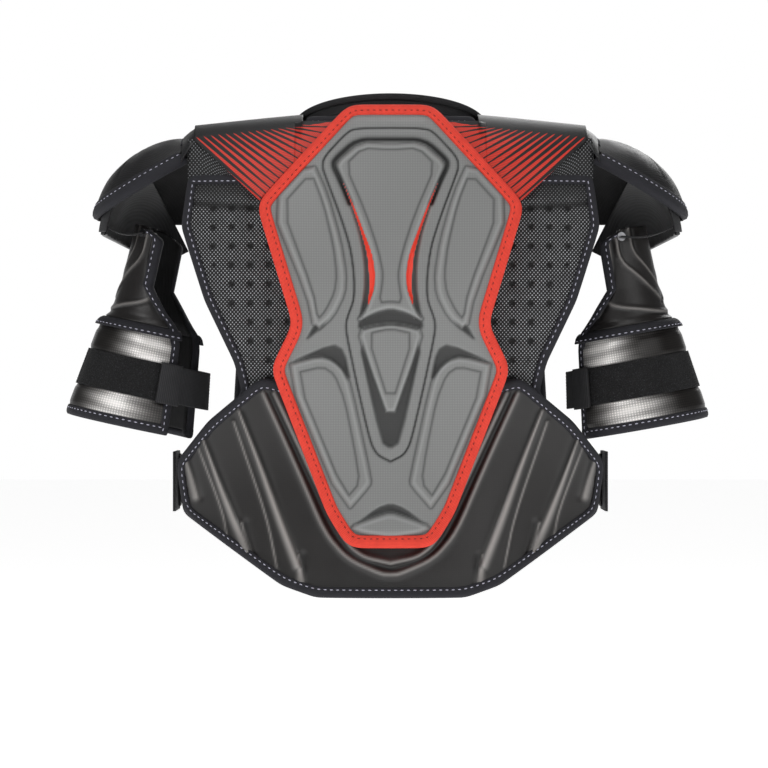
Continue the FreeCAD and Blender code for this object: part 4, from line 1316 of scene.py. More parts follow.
@dataclass
class Yoke:
    """Printed cloth over one shoulder: striped behind, black over the top."""

    side: int
    word: str
    inner: float = 80.0
    outer: float = 180.0
    tip: tuple[float, float] = (118.0, -62.0)
    corner: tuple[float, float] = (180.0, -4.5)
    plate_top: tuple[float, float] = (39.5, 24.0)
    plate_side: tuple[float, float] = (120.5, -64.5)
    neck_radius: float = 90.5
    neck_y: float = 15.5
    foot: float = -36.5
    stripes: int = 15
    first_stripe: tuple = ((116.5, -60.0), (-58.0, 70.0))
    last_stripe: tuple = ((181.0, -2.0), (-103.0, 9.0))
    bridge_from: float = 179.0
    bridge_to: float = 191.0
    bridge_last_turn: float = 2.4
    cover_radius: float = 97.9
    cover_inset: float = 7.0
    cover_arc: tuple[float, float] = (47.0, 117.0)

    def build(self) -> None:
        """Builds the yoke."""
        self._fit()
        mesh = wrapped_grid(f"yoke_cloth_{self.word}", 72, 150, self.place, (104, 230))
        points = points_of(mesh) / MM
        set_marks(mesh, self.stripe_marks(points))
        facing_out(mesh, Vector((self.side * 0.12, 0, -0.04)))
        made = piece(mesh.name, mesh, STRIPED, "vest", (f"yoke_{self.word}",), "striped_fabric")
        thicken(made, 1.6)
        self._tail()
        self._lap()
        self._bridge()

    def _tail(self) -> None:
        """Builds the yoke's inner end, which runs on under the spine plate."""
        skin = back_liner_skin()
        seam, rise, lap = (79.5, 86), 3.4, 16
        mesh, flat = cut_grid(
            f"yoke_tail_{self.word}", np.array([28.0, -62.0]), np.array([87.0, 16.0]), 1.6,
            lambda p: ((depth_inside(p, skin.outline) > -0.6) | (p[:, 0] > 77))
            & (p[:, 1] > np.minimum(self.low_edge(p[:, 0]) - lap, -5)) & (p[:, 1] < 12))
        across = np.maximum(flat[:, 0], 79.0)
        over = self.point(across, self._turn_at(across, flat[:, 1]))[:, 1] - 0.3
        on_liner = skin.place(flat, rise)[:, 1]
        share = ramp(flat[:, 0], *seam)
        y = on_liner * (1 - share) + over * share
        points = np.stack([self.side * flat[:, 0], y, flat[:, 1]], 1)
        set_uv(mesh, flat * MM)
        set_marks(mesh, self.stripe_marks(points))
        move_points(mesh, points)
        facing(mesh, Facing.BACK)
        thicken(piece(mesh.name, mesh, STRIPED, "vest", (), "striped_fabric"), 1.4)

    def _lap(self) -> None:
        """Builds the liner's mesh that runs on up under the yoke."""
        skin = back_liner_skin()
        inner, width, low, high, lap = 84, 101, -49, -3, 9

        def place(share_across: Array, share_along: Array) -> Array:
            """Points from the liner's top edge to under the yoke's lower edge."""
            across = inner + share_across * width
            top = np.minimum(self.low_edge(across) + lap, high)
            height = low + share_along * (top - low)
            over = self.point(across, self._turn_at(across, height))[:, 1] + 2.4
            under = skin.place(np.stack([across, height], 1), -1.5)[:, 1]
            share = ramp(height, -37, -45)
            return np.stack([self.side * across, over * (1 - share) + under * share, height], 1)

        mesh = wrapped_grid(f"liner_lap_{self.word}", 64, 28, place, (width, 44))
        count = len(mesh.vertices)
        # An even painted shadow under the yoke.
        set_marks(mesh, {"valley_shade": np.zeros(count), "shadow": np.full(count, 0.45)})
        facing(mesh, Facing.BACK)
        thicken(piece(mesh.name, mesh, LINER_MESH, "vest", (), "liner_mesh"), 1.2)

    def _bridge(self) -> None:
        """Builds the stretch cloth between the yoke's outer edge and the cap."""
        start = float(self._start(np.array([self.bridge_from]))[0])
        reach = math.sqrt(self.cover_radius ** 2 - self.cover_inset ** 2)
        low, high = self.cover_arc
        tuck, face_radius, slack = 2.4, 55, 1.2

        def place(share_across: Array, share_along: Array) -> Array:
            """Points between the yoke's edge and the cap's cover."""
            inner = self.point(np.full(len(share_along), self.bridge_from),
                               start + share_along * (self.bridge_last_turn - start))
            axis = inner * (1, 0, 0) + (0, 0, self.foot)
            inner = inner - tuck * (inner - axis) / face_radius
            rise = np.radians(low + (high - low) * share_along)
            outer = np.stack([np.full(len(rise), self.side * self.bridge_to),
                              -reach * np.cos(rise), BALL_Z + reach * np.sin(rise)], 1)
            sag = slack * np.sin(share_across * math.pi)[:, None] * (0, 0, 1)
            return inner + share_across[:, None] * (outer - inner) + sag

        mesh = wrapped_grid(f"shoulder_bridge_{self.word}", 12, 90, place, (14, 150))
        facing_out(mesh, Vector((self.side * 0.15, 0, -0.08)))
        bending_piece(mesh, SHOULDER_CLOTH, 1.2, ("vest", f"cap_{self.word}"))

    def _fit(self) -> None:
        """Fits the yoke's outer face as a radius about the shoulder's middle."""
        tree = node_tree_of((f"yoke_{self.word}",))
        rows = []
        for across in np.linspace(self.inner, self.outer - 0.5, 34):
            middle = Vector((self.side * across, 0, self.foot)) * MM
            for turn in np.linspace(-0.3, math.pi, 70):
                way = Vector((0, -math.cos(turn), math.sin(turn)))
                found = tree.ray_cast(middle + way * 0.3, -way)[0]
                if found is not None:
                    reach = (found - middle).dot(way) / MM
                    if reach > 20:
                        rows.append((across, turn, reach))
        across, turn, reach = np.array(rows).T
        terms = self._terms(across, turn)
        self.fitted = np.linalg.solve(terms.T @ terms + 1e-3 * np.eye(terms.shape[1]),
                                      terms.T @ reach)
        log.info("yoke_%s fits within %.2f mm", self.word,
                 np.abs(terms @ self.fitted - reach).max())

    def _terms(self, across: Array, turn: Array) -> Array:
        """The fitted face's terms."""
        x = (across - 130) / 50
        t = (turn - 1.4) / 1.8
        return np.stack([x ** i * t ** j for i in range(4) for j in range(9)], -1)

    def low_edge(self, across: Array) -> Array:
        """Height of the yoke's lower edge behind, at each distance from the centre plane."""
        outer = self.tip[1] + (across - self.tip[0]) * (
            (self.corner[1] - self.tip[1]) / (self.corner[0] - self.tip[0]))
        inner = self.plate_side[1] + (self.plate_side[0] - across) * (
            (self.plate_top[1] - self.plate_side[1]) / (self.plate_side[0] - self.plate_top[0]))
        return np.maximum(outer, inner)

    def point(self, across: Array, turn: Array) -> Array:
        """Points of the face."""
        reach = self._terms(across, turn) @ self.fitted
        return np.stack([self.side * across, -reach * np.cos(turn),
                         self.foot + reach * np.sin(turn)], -1)

    def place(self, share_across: Array, share_along: Array) -> Array:
        """Points from their shares across the shoulder and over it."""
        across = self.inner + share_across * (self.outer - self.inner)
        for _ in range(4):
            start = self._start(across)
            turn = start + share_along * (math.pi - start)
            y = self.point(across, turn)[:, 1]
            edge = np.sqrt(np.maximum(self.neck_radius ** 2 - (y - self.neck_y) ** 2, 0))
            inner = np.maximum(self.inner, edge)
            across = inner + share_across * (self.outer - inner)
        start = self._start(across)
        turn = start + share_along * (math.pi - start)
        return self.point(across, turn)

    def _start(self, across: Array) -> Array:
        """The turn at which the face meets the lower edge."""
        return self._turn_at(across, self.low_edge(across))

    def _turn_at(self, across: Array, edge: Array) -> Array:
        """The turn at which the face behind reaches a height."""
        low, high = np.full(len(across), -0.36), np.full(len(across), 1.3)
        for _ in range(18):
            middle = (low + high) / 2
            below = self.point(across, middle)[:, 2] < edge
            low, high = np.where(below, middle, low), np.where(below, high, middle)
        return (low + high) / 2

    def stripe_marks(self, points: Array) -> dict[str, Array]:
        """The stripe count and stripe width at each point, seen square on from behind."""
        flat = folded(points[:, ::2])
        start, start_run = np.array(self.first_stripe)
        stop, stop_run = np.array(self.last_stripe)
        first, change = stop - start, stop_run - start_run
        away = flat - start

        def cross(a: Array, b: Array) -> Array:
            """The flat cross product."""
            return a[..., 0] * b[..., 1] - a[..., 1] * b[..., 0]

        square = -cross(change, start_run)
        line = cross(change[None], away) - cross(first, start_run)
        rest = cross(first[None], away)
        root = np.sqrt(np.maximum(line * line - 4 * square * rest, 0))
        both = np.stack([(-line + root) / (2 * square), (-line - root) / (2 * square)], 1)
        best = np.argmin(np.abs(both - 0.5), axis=1)
        share = both[np.arange(len(both)), best]
        base = start + share[:, None] * start_run
        top = stop + share[:, None] * stop_run
        along = np.linalg.norm(flat - base, axis=1) / np.linalg.norm(top - base, axis=1)
        width = 0.4 - 0.3 * np.clip(along, 0, 1)
        width -= 3 * np.clip(along - 0.97, 0, 1) + 8 * np.clip(share - 0.99, 0, 1)
        width -= 8 * np.clip(-0.01 - share, 0, 1) + 5 * (points[:, 1] > -20)
        return {"stripe": share * self.stripes, "width": width}


@dataclass
class Collar:
    """The stand-up collar: a ribbed band round the back of the neck, with a rolled rim."""

    radius: float = 88.6
    wall: float = 6.0
    middle: float = 15.5
    front: float = 30.0
    bottom: float = -11.5
    back_top: float = 37.0
    tilt: float = 14.0

    def build(self) -> None:
        """Builds the band and its rim."""
        low = math.asin((self.front - self.middle) / self.radius)
        turns = np.linspace(-low, math.pi + low, 150)
        out = np.stack([np.cos(turns), -np.sin(turns), np.zeros_like(turns)], 1)
        y = self.middle + self.radius * out[:, 1]
        top = self.back_top - math.tan(math.radians(self.tilt)) * (
            y - (self.middle - self.radius))
        for name, low_z, high_z, bulge, nodes in (
                ("collar_band", self.bottom + 0 * top, top - 5.6, 0.0, ("collar",)),
                ("collar_rim", top - 6.4, top, 0.7, ("collar_binding",))):
            self._band(name, out, low_z, high_z, bulge, nodes)

    def _band(self, name: str, out: Array, low: Array, high: Array, bulge: float,
              nodes: tuple[str, ...]) -> None:
        """Builds one band between two heights, rounded at its edges."""
        half = self.wall / 2
        turns = np.linspace(0, math.tau, 17)[:-1]
        across = half * np.sign(np.cos(turns)) * np.abs(np.cos(turns)) ** 0.5
        up = 0.5 + 0.5 * np.sign(np.sin(turns)) * np.abs(np.sin(turns)) ** 0.5
        reach = self.radius - half + bulge + across
        span = (high - low)[:, None]
        ring = out[:, None] * reach[None, :, None]
        ring[..., 1] += self.middle
        ring[..., 2] = low[:, None] + span * up[None]
        ring = np.concatenate([ring, ring[:, :1]], axis=1)

        def place(share_across: Array, share_along: Array) -> Array:
            """The band's points, station by station."""
            i = np.rint(share_along * (len(ring) - 1)).astype(int)
            j = np.rint(share_across * 16).astype(int)
            return ring[i, j]

        mesh = wrapped_grid(name, 16, len(ring) - 1, place, (110, 270), merge=True)
        close_ends(mesh)
        piece(name, mesh, BLACK_TAPE, "vest", nodes, "black_webbing")


@dataclass
class ShoulderCap:
    """One shoulder cap: a padded cover with a stitched rim, lined inside."""

    side: int
    word: str
    radius: float = 96.6
    near: float = 186.3
    rim_x: float = 186.0
    rim_inner: float = -24.0
    rim_slope: float = 65.0 / 114.0
    band: float = 13.5
    lining: float = 90.6
    skirt: float = -76.0

    def __post_init__(self) -> None:
        """Works out the rim's plane."""
        self.centre = np.array([self.side * BALL_X, 0, BALL_Z])
        tilt = math.atan(self.rim_slope)
        self.up = np.array([self.side * math.sin(tilt), 0, math.cos(tilt)])
        self.down = np.array([self.side * math.cos(tilt), 0, -math.sin(tilt)])
        corner = np.array([self.side * self.rim_x, 0, self.rim_inner])
        self.lift = float((corner - self.centre) @ self.up)
        self.body = f"cap_{self.word}"

    def dome(self, radius: float, lift: float, extra: Sequence[tuple] = (),
             rim: bool = True) -> bmesh.types.BMesh:
        """A dome cut by the plane beside the shoulder, by the rim and by other planes.

        Args:
            radius: Its radius.
            lift: How far above the rim's plane it is cut.
            extra: Further planes, each a point and the way that is cut off.
            rim: Whether the rim cuts it.

        Returns:
            The net.
        """
        net = bmesh.new()
        turn = Vector((0, 0, 1)).rotation_difference(Vector(self.up)).to_matrix().to_4x4()
        bmesh.ops.create_uvsphere(net, u_segments=144, v_segments=96, radius=radius * MM,
                                  matrix=Matrix.Translation(Vector(self.centre) * MM) @ turn)
        planes = [((self.side * self.near, 0, 0), (-self.side, 0, 0)), *extra]
        if rim:
            planes.append((tuple(self.centre + self.up * (self.lift + lift)), tuple(-self.up)))
        for point, way in planes:
            bmesh.ops.bisect_plane(net, geom=net.verts[:] + net.edges[:] + net.faces[:],
                                   plane_co=Vector(point) * MM, plane_no=way, clear_outer=True)
        return net

    def build(self) -> None:
        """Builds the cover, the rim and the lining."""
        net = self.dome(self.radius - 1.4, self.band - 3.0)
        mesh = mesh_of(f"cap_cover_pad_{self.word}", net)
        points = points_of(mesh) / MM
        away = points - self.centre
        out = unit(away)
        above = away @ self.up - self.lift - self.band
        beside = np.abs(points[:, 0]) - self.near
        puff = 1.9 * ramp(above, -3, 12) * ramp(beside, 0, 9)
        spread = np.arctan2(away[:, 1], away @ self.down)
        seam = bump(np.abs(spread) - 0.9 - 0.004 * above, 0.03)
        folds = 0.5 * np.sin(7 * spread + 0.08 * above) * np.sin(0.11 * above + 1)
        move_points(mesh, points + out * (puff - 1.1 * seam * ramp(above, 2, 12)
                                          + folds * ramp(above, 0, 14))[:, None])
        cover = piece(mesh.name, mesh, CAP_CLOTH, self.body, (f"cap_cover_{self.word}",),
                      "black_fabric", fill=0.8)
        thicken(cover, 3.4)
        self._rim()
        self._neck_tape()
        self._lining()

    def _circle(self, lift: float, radius: float, count: int) -> tuple[Array, Array]:
        """Points of the rim's circle at a height above its plane, and the ways outwards."""
        rise = self.lift + lift
        reach = math.sqrt(radius ** 2 - rise ** 2)
        middle = self.centre + self.up * rise
        limit = (self.side * self.near - middle[0]) / (reach * self.down[0])
        turn = math.acos(max(min(limit, 1), -1))
        turns = np.linspace(-turn, turn, count)
        level = np.cos(turns)[:, None] * self.down + np.sin(turns)[:, None] * np.array([0, 1, 0])
        points = middle + reach * level
        away = points - self.centre
        return points, unit(away)

    def _rim(self) -> None:
        """Builds the rolled rim, two rounded tapes tall, with its stitches."""
        points, out = self._circle(0.4, self.radius - 3.5, 170)
        upward = np.cross(np.gradient(points, axis=0), out)
        upward = unit(upward)
        upward *= np.sign(upward @ self.up)[:, None]
        Tape(f"cap_rim_{self.word}", self.body, NAVY_TAPE, WHITE_THREAD, width=self.band + 1.5,
             crown=3.2, stitch_at=0.62, nodes=(f"cap_binding_{self.word}",),
             slot="binding_tape").build(points, upward, out, closed=False, depth=4.6)

    def _neck_tape(self) -> None:
        """Builds the narrow tape along the cover's edge beside the shoulder."""
        reach = math.sqrt((self.radius - 1.2) ** 2 - (self.near - BALL_X) ** 2)
        low = math.atan2(self.rim_inner + self.band + 6 - BALL_Z, reach * 0.42)
        turns = np.linspace(low, math.pi - low, 110)
        level = np.stack([0 * turns, -np.cos(turns), np.sin(turns)], 1)
        points = np.array([self.side * (self.near + 0.8), 0, BALL_Z]) + reach * level
        inward = np.tile([self.side, 0.0, 0.0], (len(points), 1))
        Tape(f"cap_neck_tape_{self.word}", self.body, NAVY_TAPE, width=6.0, crown=1.4).build(
            points, inward, level, closed=False, depth=3.4)

    def _lining(self) -> None:
        """Builds the lining: to the rim behind, and lower down in front."""
        back = self.dome(self.lining, 1.0, [((0, 0, 0), (0, 1, 0))])
        front = self.dome(self.lining, 0, [((0, 0, 0), (0, -1, 0)),
                                           ((0, 0, self.skirt), (0, 0, -1))], rim=False)
        mesh = bpy.data.meshes.new(f"cap_lining_{self.word}")
        front.to_mesh(mesh)
        back.from_mesh(mesh)
        bmesh.ops.remove_doubles(back, verts=back.verts, dist=0.3 * MM)
        back.to_mesh(mesh)
        back.free()
        front.free()
        made = piece(mesh.name, mesh, DARK_LINING, self.body, (f"cap_liner_{self.word}",),
                     "lining", fill=0.4)
        thicken(made, 2.4)


# --- Arms -----------------------------------------------------


@dataclass
class ArmGuard:
    """One arm guard: moulded upper guard, strap-closed film cuff, lining, tapes and hanger."""

    side: int
    word: str
    splay: float
    twist: float
    axis: float = 202.0
    top: float = 9.0
    shoulder: float = -45.0
    joint: float = -79.0
    hem: float = -168.0
    gap_angle: float = 44.0
    cuff_top: float = 49.0
    cuff_end: float = 62.3
    loop_top: float = -112.0
    loop_end: float = -146.0

    def __post_init__(self) -> None:
        """Works out the arm's place."""
        lean = Matrix.Rotation(math.radians(-self.side * self.splay), 3, "Y")
        spin = Matrix.Rotation(math.radians(self.side * self.twist), 3, "Z")
        self.turn = np.array(lean @ spin)
        self.body = f"arm_{self.word}"

    def row(self, local: Array) -> Array:
        """Points of the arm in the row's frame."""
        return local @ self.turn.T + np.array([self.side * self.axis, 0, BALL_Z])

    def around(self, angle: Array, radius: Array, height: Array) -> Array:
        """Local points at angles from the outer side round by the back, in degrees."""
        turn = np.radians(angle)
        return np.stack([self.side * radius * np.cos(turn), -radius * np.sin(turn), height], -1)

    def radius(self, height: Array) -> Array:
        """The guard's outer radius at each height."""
        upper = np.interp(-height, [-10, 45, 79], [37.0, 39.0, 43.5])
        cuff = np.interp(-height, [80, 168], [self.cuff_top, self.cuff_end])
        blend = ramp(-height, 72, 84)
        return upper * (1 - blend) + cuff * blend

    def edge_angle(self, height: Array) -> Array:
        """Where the guard stops on each side, in degrees from the outer side."""
        tongue = 89.0 - 34.0 * ramp(height, -6, self.top) ** 2
        inner = 30 * np.clip((self.shoulder - height) / 34, 0, 1)
        wide = 89 + np.degrees(np.arcsin(np.clip(inner / self.radius(height), 0, 0.95)))
        cuff = 180 - self.gap_angle - 1.5
        low = ramp(height, -66, -96)
        return np.where(height > self.shoulder, tongue, wide * (1 - low) + cuff * low)

    def skin(self, name: str, heights: tuple[float, float], cells: tuple[int, int],
             out: Callable[[Array, Array], Array] | float, finish: Finish, thickness: float,
             nodes: Sequence[str] = (), slot: str | None = None, angles: tuple | None = None,
             marks: Callable[[Array, Array], dict] | None = None, body: str | None = None,
             fill: float | None = None) -> bpy.types.Object:
        """A skin round the arm between two heights.

        Args:
            name: The piece's name.
            heights: Its top and bottom heights.
            cells: Cells round and down.
            out: Its distance from the guard's outer face, or a function of angle and height.
            finish: What it is finished with.
            thickness: Its thickness, inwards.
            nodes: CAD nodes that it stands for.
            slot: The record's material slot.
            angles: Its first and last angle, or None for the guard's own edges.
            marks: Gives its finish's marks from angle and height.
            body: The body that it rides on, if not the arm.
            fill: How full it is, where it is padded.

        Returns:
            The piece.
        """
        kept: dict[str, Array] = {}

        def place(share_round: Array, share_down: Array) -> Array:
            """The skin's points."""
            height = heights[0] + share_down * (heights[1] - heights[0])
            if angles is None:
                edge = self.edge_angle(height)
                angle = -edge + share_round * 2 * edge
            else:
                angle = angles[0] + share_round * (angles[1] - angles[0])
            rise = out(angle, height) if callable(out) else out
            kept["angle"], kept["height"] = angle, height
            return self.row(self.around(angle, self.radius(height) + rise, height))

        span = 4.7 * (angles[1] - angles[0] if angles else 260) / 5
        mesh = wrapped_grid(name, cells[0], cells[1], place,
                            (span, abs(heights[1] - heights[0])))
        if marks:
            set_marks(mesh, marks(kept["angle"], kept["height"]))
        middle = self.row(np.array([[0, 0, (heights[0] + heights[1]) / 2]]))[0] * MM
        facing_out(mesh, Vector(middle))
        made = piece(name, mesh, finish, body or self.body, nodes, slot, fill)
        return thicken(made, thickness)

    def build(self) -> None:
        """Builds the arm guard's pieces."""
        w = self.word
        self.skin(f"upper_guard_moulding_{w}", (self.top, self.joint), (110, 84),
                  lambda a, h: self.facets(a, h)[0], BLACK_FOAM, 4.4,
                  (f"upper_arm_guard_{w}",), "black_eva", marks=lambda a, h: self.facets(a, h)[1],
                  fill=0.8)
        self.skin(f"upper_guard_lining_{w}", (self.top - 1, self.joint - 2), (60, 40), -5.6,
                  DARK_LINING, 3.2, (f"upper_arm_liner_{w}",), "lining", fill=0.5)
        self.skin(f"cuff_film_{w}", (self.joint - 1.5, self.hem + 0.5), (130, 60), self.cuff_puff,
                  FILM, 4.4, (f"bicep_cuff_{w}",), "silver_film", marks=self.film_marks, fill=0.6)
        self.skin(f"cuff_lining_{w}", (self.joint - 3, self.hem - 1), (90, 40), -5.8, DARK_LINING,
                  3.2, (f"bicep_cuff_liner_{w}",), "lining", fill=0.5)
        self.skin(f"loop_strip_{w}", (self.loop_top, self.loop_end), (150, 30),
                  lambda a, h: 2.0 + 0.35 * np.sin(a * 1.9) * np.sin(h * 1.3), LOOP_PILE, 1.5,
                  (f"bicep_loop_strip_{w}",), "hook_and_loop", angles=(-124, 135))
        self._ring_tape(f"cuff_band_tape_{w}", -80.5, 9.5, 1.0, (f"cuff_band_{w}",), 2.2)
        self._ring_tape(f"cuff_hem_tape_{w}", self.hem - 7.0, 8.5, 0.2,
                        (f"cuff_hem_binding_{w}",), 1.8, upward=True)
        for end in (-1, 1):
            self._edge_tape(end)
        self._strap()
        self._hanger()
        self._flap()

    def facets(self, angle: Array, height: Array) -> tuple[Array, dict[str, Array]]:
        """The upper guard's moulded facets: heights, and the marks of painted highlight on the
        ridges and painted shade below them.
        """
        flat = np.stack([np.abs(angle) * 0.68, height], 1)
        edge = np.stack([self.edge_angle(height) * 0.68 - np.abs(angle) * 0.68, height], 1)
        rise = np.zeros(len(angle))
        valley_shade = np.zeros(len(angle))
        crest_highlight = np.zeros(len(angle))
        for line, tall, wide in ((((44, 9), (45, -20), (23, -42), (6, -60)), 1.9, 2.3),
                                 (((66, -52), (56, -61), (22, -70), (0, -73)), 1.7, 2.6),
                                 (((52, 9), (53, -22), (60, -48), (74, -66)), 1.0, 1.8),
                                 (((30, 9), (30, -14), (12, -34), (0, -46)), 1.1, 2.4)):
            bent = rounded(line, 2, closed=False)
            near = distance(flat, bent)
            below = distance(flat + (2.2, 2.6), bent)
            rise += tall * bump(near, wide) - 0.8 * bump(below, wide)
            # Painted highlight along each ridge and painted shade just below it.
            crest_highlight = np.maximum(crest_highlight, 0.75 * bump(near, 1.1))
            valley_shade = np.maximum(valley_shade, 0.7 * bump(below, 1.7) * (1 - bump(near, 1.6)))
        rise -= 0.8 * ramp(edge[:, 0], 6, 2)
        return rise, {"valley_shade": valley_shade, "crest_highlight": crest_highlight}

    def cuff_puff(self, angle: Array, height: Array) -> Array:
        """The film swells a little between the band, the strip and the hem."""
        upper = ramp(height, -90, -96) * ramp(height, -113, -108)
        lower = ramp(height, -146, -151) * ramp(height, -168, -162)
        return 0.1 + 1.3 * upper + 1.3 * lower + 0.25 * np.sin(angle * 0.21) * (upper + lower)

    def film_marks(self, angle: Array, height: Array) -> dict[str, Array]:
        """Where the film gets its painted reflection."""
        middle = np.where(height > -125, 104, 84)
        streak = 0.75 + 0.25 * np.sin(height * 0.5 + angle * 0.05)
        return {"light": streak * bump(angle - middle, 21) + 0.4 * bump(angle + 60, 30)}

    def _frames(self, angle: Array, height: Array, out: float) -> tuple[Array, Array]:
        """Points in the row's frame, and the ways out of the arm."""
        local = self.around(angle, self.radius(height) + out, height)
        away = self.around(angle, np.ones_like(height), np.zeros_like(height))
        return self.row(local), away @ self.turn.T

    def _edge(self, angle: Array, height: Array, out: float, turn: float = 0,
              rise: float = 0) -> tuple[Array, Array, Array]:
        """An edge's points, the ways in over the guard by a turn or a rise, and outwards."""
        points, normal = self._frames(angle, height, out)
        other, _ = self._frames(angle + turn, height + rise, out)
        return points, unit(other - points), normal

    def _ring_tape(self, name: str, height: float, width: float, out: float,
                   nodes: tuple[str, ...], crown: float, upward: bool = False) -> None:
        """Builds a tape round the cuff, its edge at a height."""
        limit = 180 - self.gap_angle - 1
        angle = np.linspace(-limit, limit, 120)
        edge = self._edge(angle, np.full(120, height), out, rise=1 if upward else -1)
        Tape(name, self.body, NAVY_TAPE, WHITE_THREAD, width=width, crown=crown,
             nodes=nodes, slot="binding_tape", stitch_at=0.68).build(
                 *edge, closed=False, depth=7.5 if upward else 1.2)

    def _edge_tape(self, end: int) -> None:
        """Builds the tape down the guard's open edge, in front (-1) or behind (1)."""
        height = np.linspace(self.top - 3, self.hem - 5, 110)
        angle = end * (self.edge_angle(height) + 0.5)
        edge = self._edge(angle, height, 0.4, turn=-end)
        where = "back" if end > 0 else "front"
        Tape(f"arm_edge_tape_{where}_{self.word}", self.body, NAVY_TAPE, WHITE_THREAD, width=8.4,
             crown=1.9, stitch_at=0.66).build(*edge, closed=False, depth=8.2)

    def _strap(self) -> None:
        """Builds the elastic strap across the gap, its folded tab and its hook patch."""
        body = f"bicep_closure_{self.word}"
        self.skin(f"bicep_elastic_{self.word}", (self.loop_top, self.loop_end), (90, 24),
                  lambda a, h: 5.6 + 0.12 * np.sin(h * 2.2), BLACK_TAPE, 1.8,
                  (f"bicep_strap_{self.word}",), "black_webbing", angles=(118.5, 259), body=body)
        self.skin(f"bicep_tab_{self.word}", (self.loop_top + 1.5, self.loop_end - 1.5), (20, 24),
                  lambda a, h: 7.6 - 1.6 * ((a - 129) / 11) ** 2, BLACK_TAPE, 1.9, (),
                  "black_webbing", angles=(118.5, 139), body=body)
        self.skin(f"bicep_hooks_{self.word}", (self.loop_top - 2, self.loop_end + 2), (40, 18),
                  3.3, LOOP_PILE, 1.0, (f"bicep_hook_{self.word}",), "hook_and_loop",
                  angles=(226, 257), body=body)

    def _hanger(self) -> None:
        """Builds the webbing that hangs the guard in the cap, and its tail down to the rivet."""
        centre = np.array([self.side * BALL_X, 0, BALL_Z])
        reach, y = 87.6, -27.0

        def on_ball(share_across: Array, share_down: Array) -> Array:
            """Points of the webbing under the cap."""
            depth = y - 12.5 + 25 * share_across
            rise = np.radians(76 - 70 * share_down)
            level = np.sqrt(reach ** 2 - depth ** 2)
            return centre + np.stack([self.side * level * np.cos(rise), depth,
                                      level * np.sin(rise)], 1)

        mesh = wrapped_grid(f"hanger_webbing_{self.word}", 12, 60, on_ball, (25, 100))
        facing_out(mesh, Vector(centre) * MM)
        made = piece(mesh.name, mesh, BLACK_TAPE, f"hanger_{self.word}",
                     (f"arm_hanger_{self.word}",), "black_webbing")
        thicken(made, 1.4)
        start = on_ball(np.array([0.5]), np.array([0.93]))[0]
        seat, _ = self._frames(np.array([58.0]), np.array([2.0]), 1.6)
        stop = seat[0]

        def tail(share_across: Array, share_down: Array) -> Array:
            """Points of the tail from the webbing's end to the rivet."""
            line = start + share_down[:, None] * (stop - start)
            sag = np.sin(share_down * math.pi) * -5.0
            line = line + sag[:, None] * np.array([0, 0, 1.0])
            line[:, 1] += (share_across - 0.5) * (22 - 8 * share_down)
            away = line - centre
            far = np.linalg.norm(away, axis=1)
            return centre + away * np.minimum(1, (reach - 1.6) / far)[:, None]

        mesh = wrapped_grid(f"hanger_tail_{self.word}", 8, 30, tail, (20, 50))
        bending_piece(mesh, BLACK_TAPE, 1.4, (f"hanger_{self.word}", self.body),
                      offset=0)

    def _flap(self) -> None:
        """Builds the padded flap over the deltoid, inside the cap."""
        cap = ShoulderCap(self.side, self.word)
        corners = np.array([(8, -6), (42, 62), (116, 62), (116, 22), (84, 6), (57, -31)], float)
        extra = [((0, -7.5, 0), (0, -1, 0))]
        for i, corner in enumerate(corners):
            along = np.roll(corners, -1, 0)[i] - corner
            point = (self.side * (BALL_X + corner[0]), 0, BALL_Z + corner[1])
            extra.append((point, (-self.side * along[1], 0, along[0])))
        net = cap.dome(85.2, 0, extra, rim=False)
        mesh = mesh_of(f"deltoid_pad_{self.word}", net)
        made = piece(mesh.name, mesh, SHOULDER_CLOTH, self.body, (f"deltoid_flap_{self.word}",),
                     "black_fabric", fill=0.6)
        thicken(made, 4.6)


@dataclass
class SideStraps:
    """The straps that close the vest at the waist, with their landings."""

    def build(self) -> None:
        """Builds both straps, their hook patches and the firm landings."""
        for side, word in SIDES:
            for kind, finish, slot in (("side_strap", BLACK_TAPE, "black_webbing"),
                                       ("side_strap_hook", LOOP_PILE, "hook_and_loop")):
                low, high = (np.array(c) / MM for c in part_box(f"{kind}_{word}"))
                face = high[0] if side > 0 else low[0]

                def place(share_across: Array, share_along: Array) -> Array:
                    """The strap's points, with rounded corners at its free end."""
                    y = low[1] + share_along * (high[1] - low[1])
                    half = (high[2] - low[2]) / 2
                    end = np.clip((y - (high[1] - 14)) / 14, 0, 1)
                    half = half * (1 - 0.35 * end ** 2.5)
                    z = (low[2] + high[2]) / 2 + (share_across - 0.5) * 2 * half
                    return np.stack([np.full_like(y, face), y, z], 1)

                mesh = wrapped_grid(f"{kind}_cloth_{word}", 26, 44, place,
                                    (high[2] - low[2], high[1] - low[1]))
                facing_out(mesh, Vector((0, 0, -0.3)))
                made = piece(mesh.name, mesh, finish, f"side_closure_{word}",
                             (f"{kind}_{word}",), slot)
                thicken(made, high[0] - low[0] - 0.1)
            swollen(f"side_landing_{word}", f"side_bolster_{word}", PLAIN_FOAM, "front_panel",
                    "foam", voxel=3.0, cap=2.0)


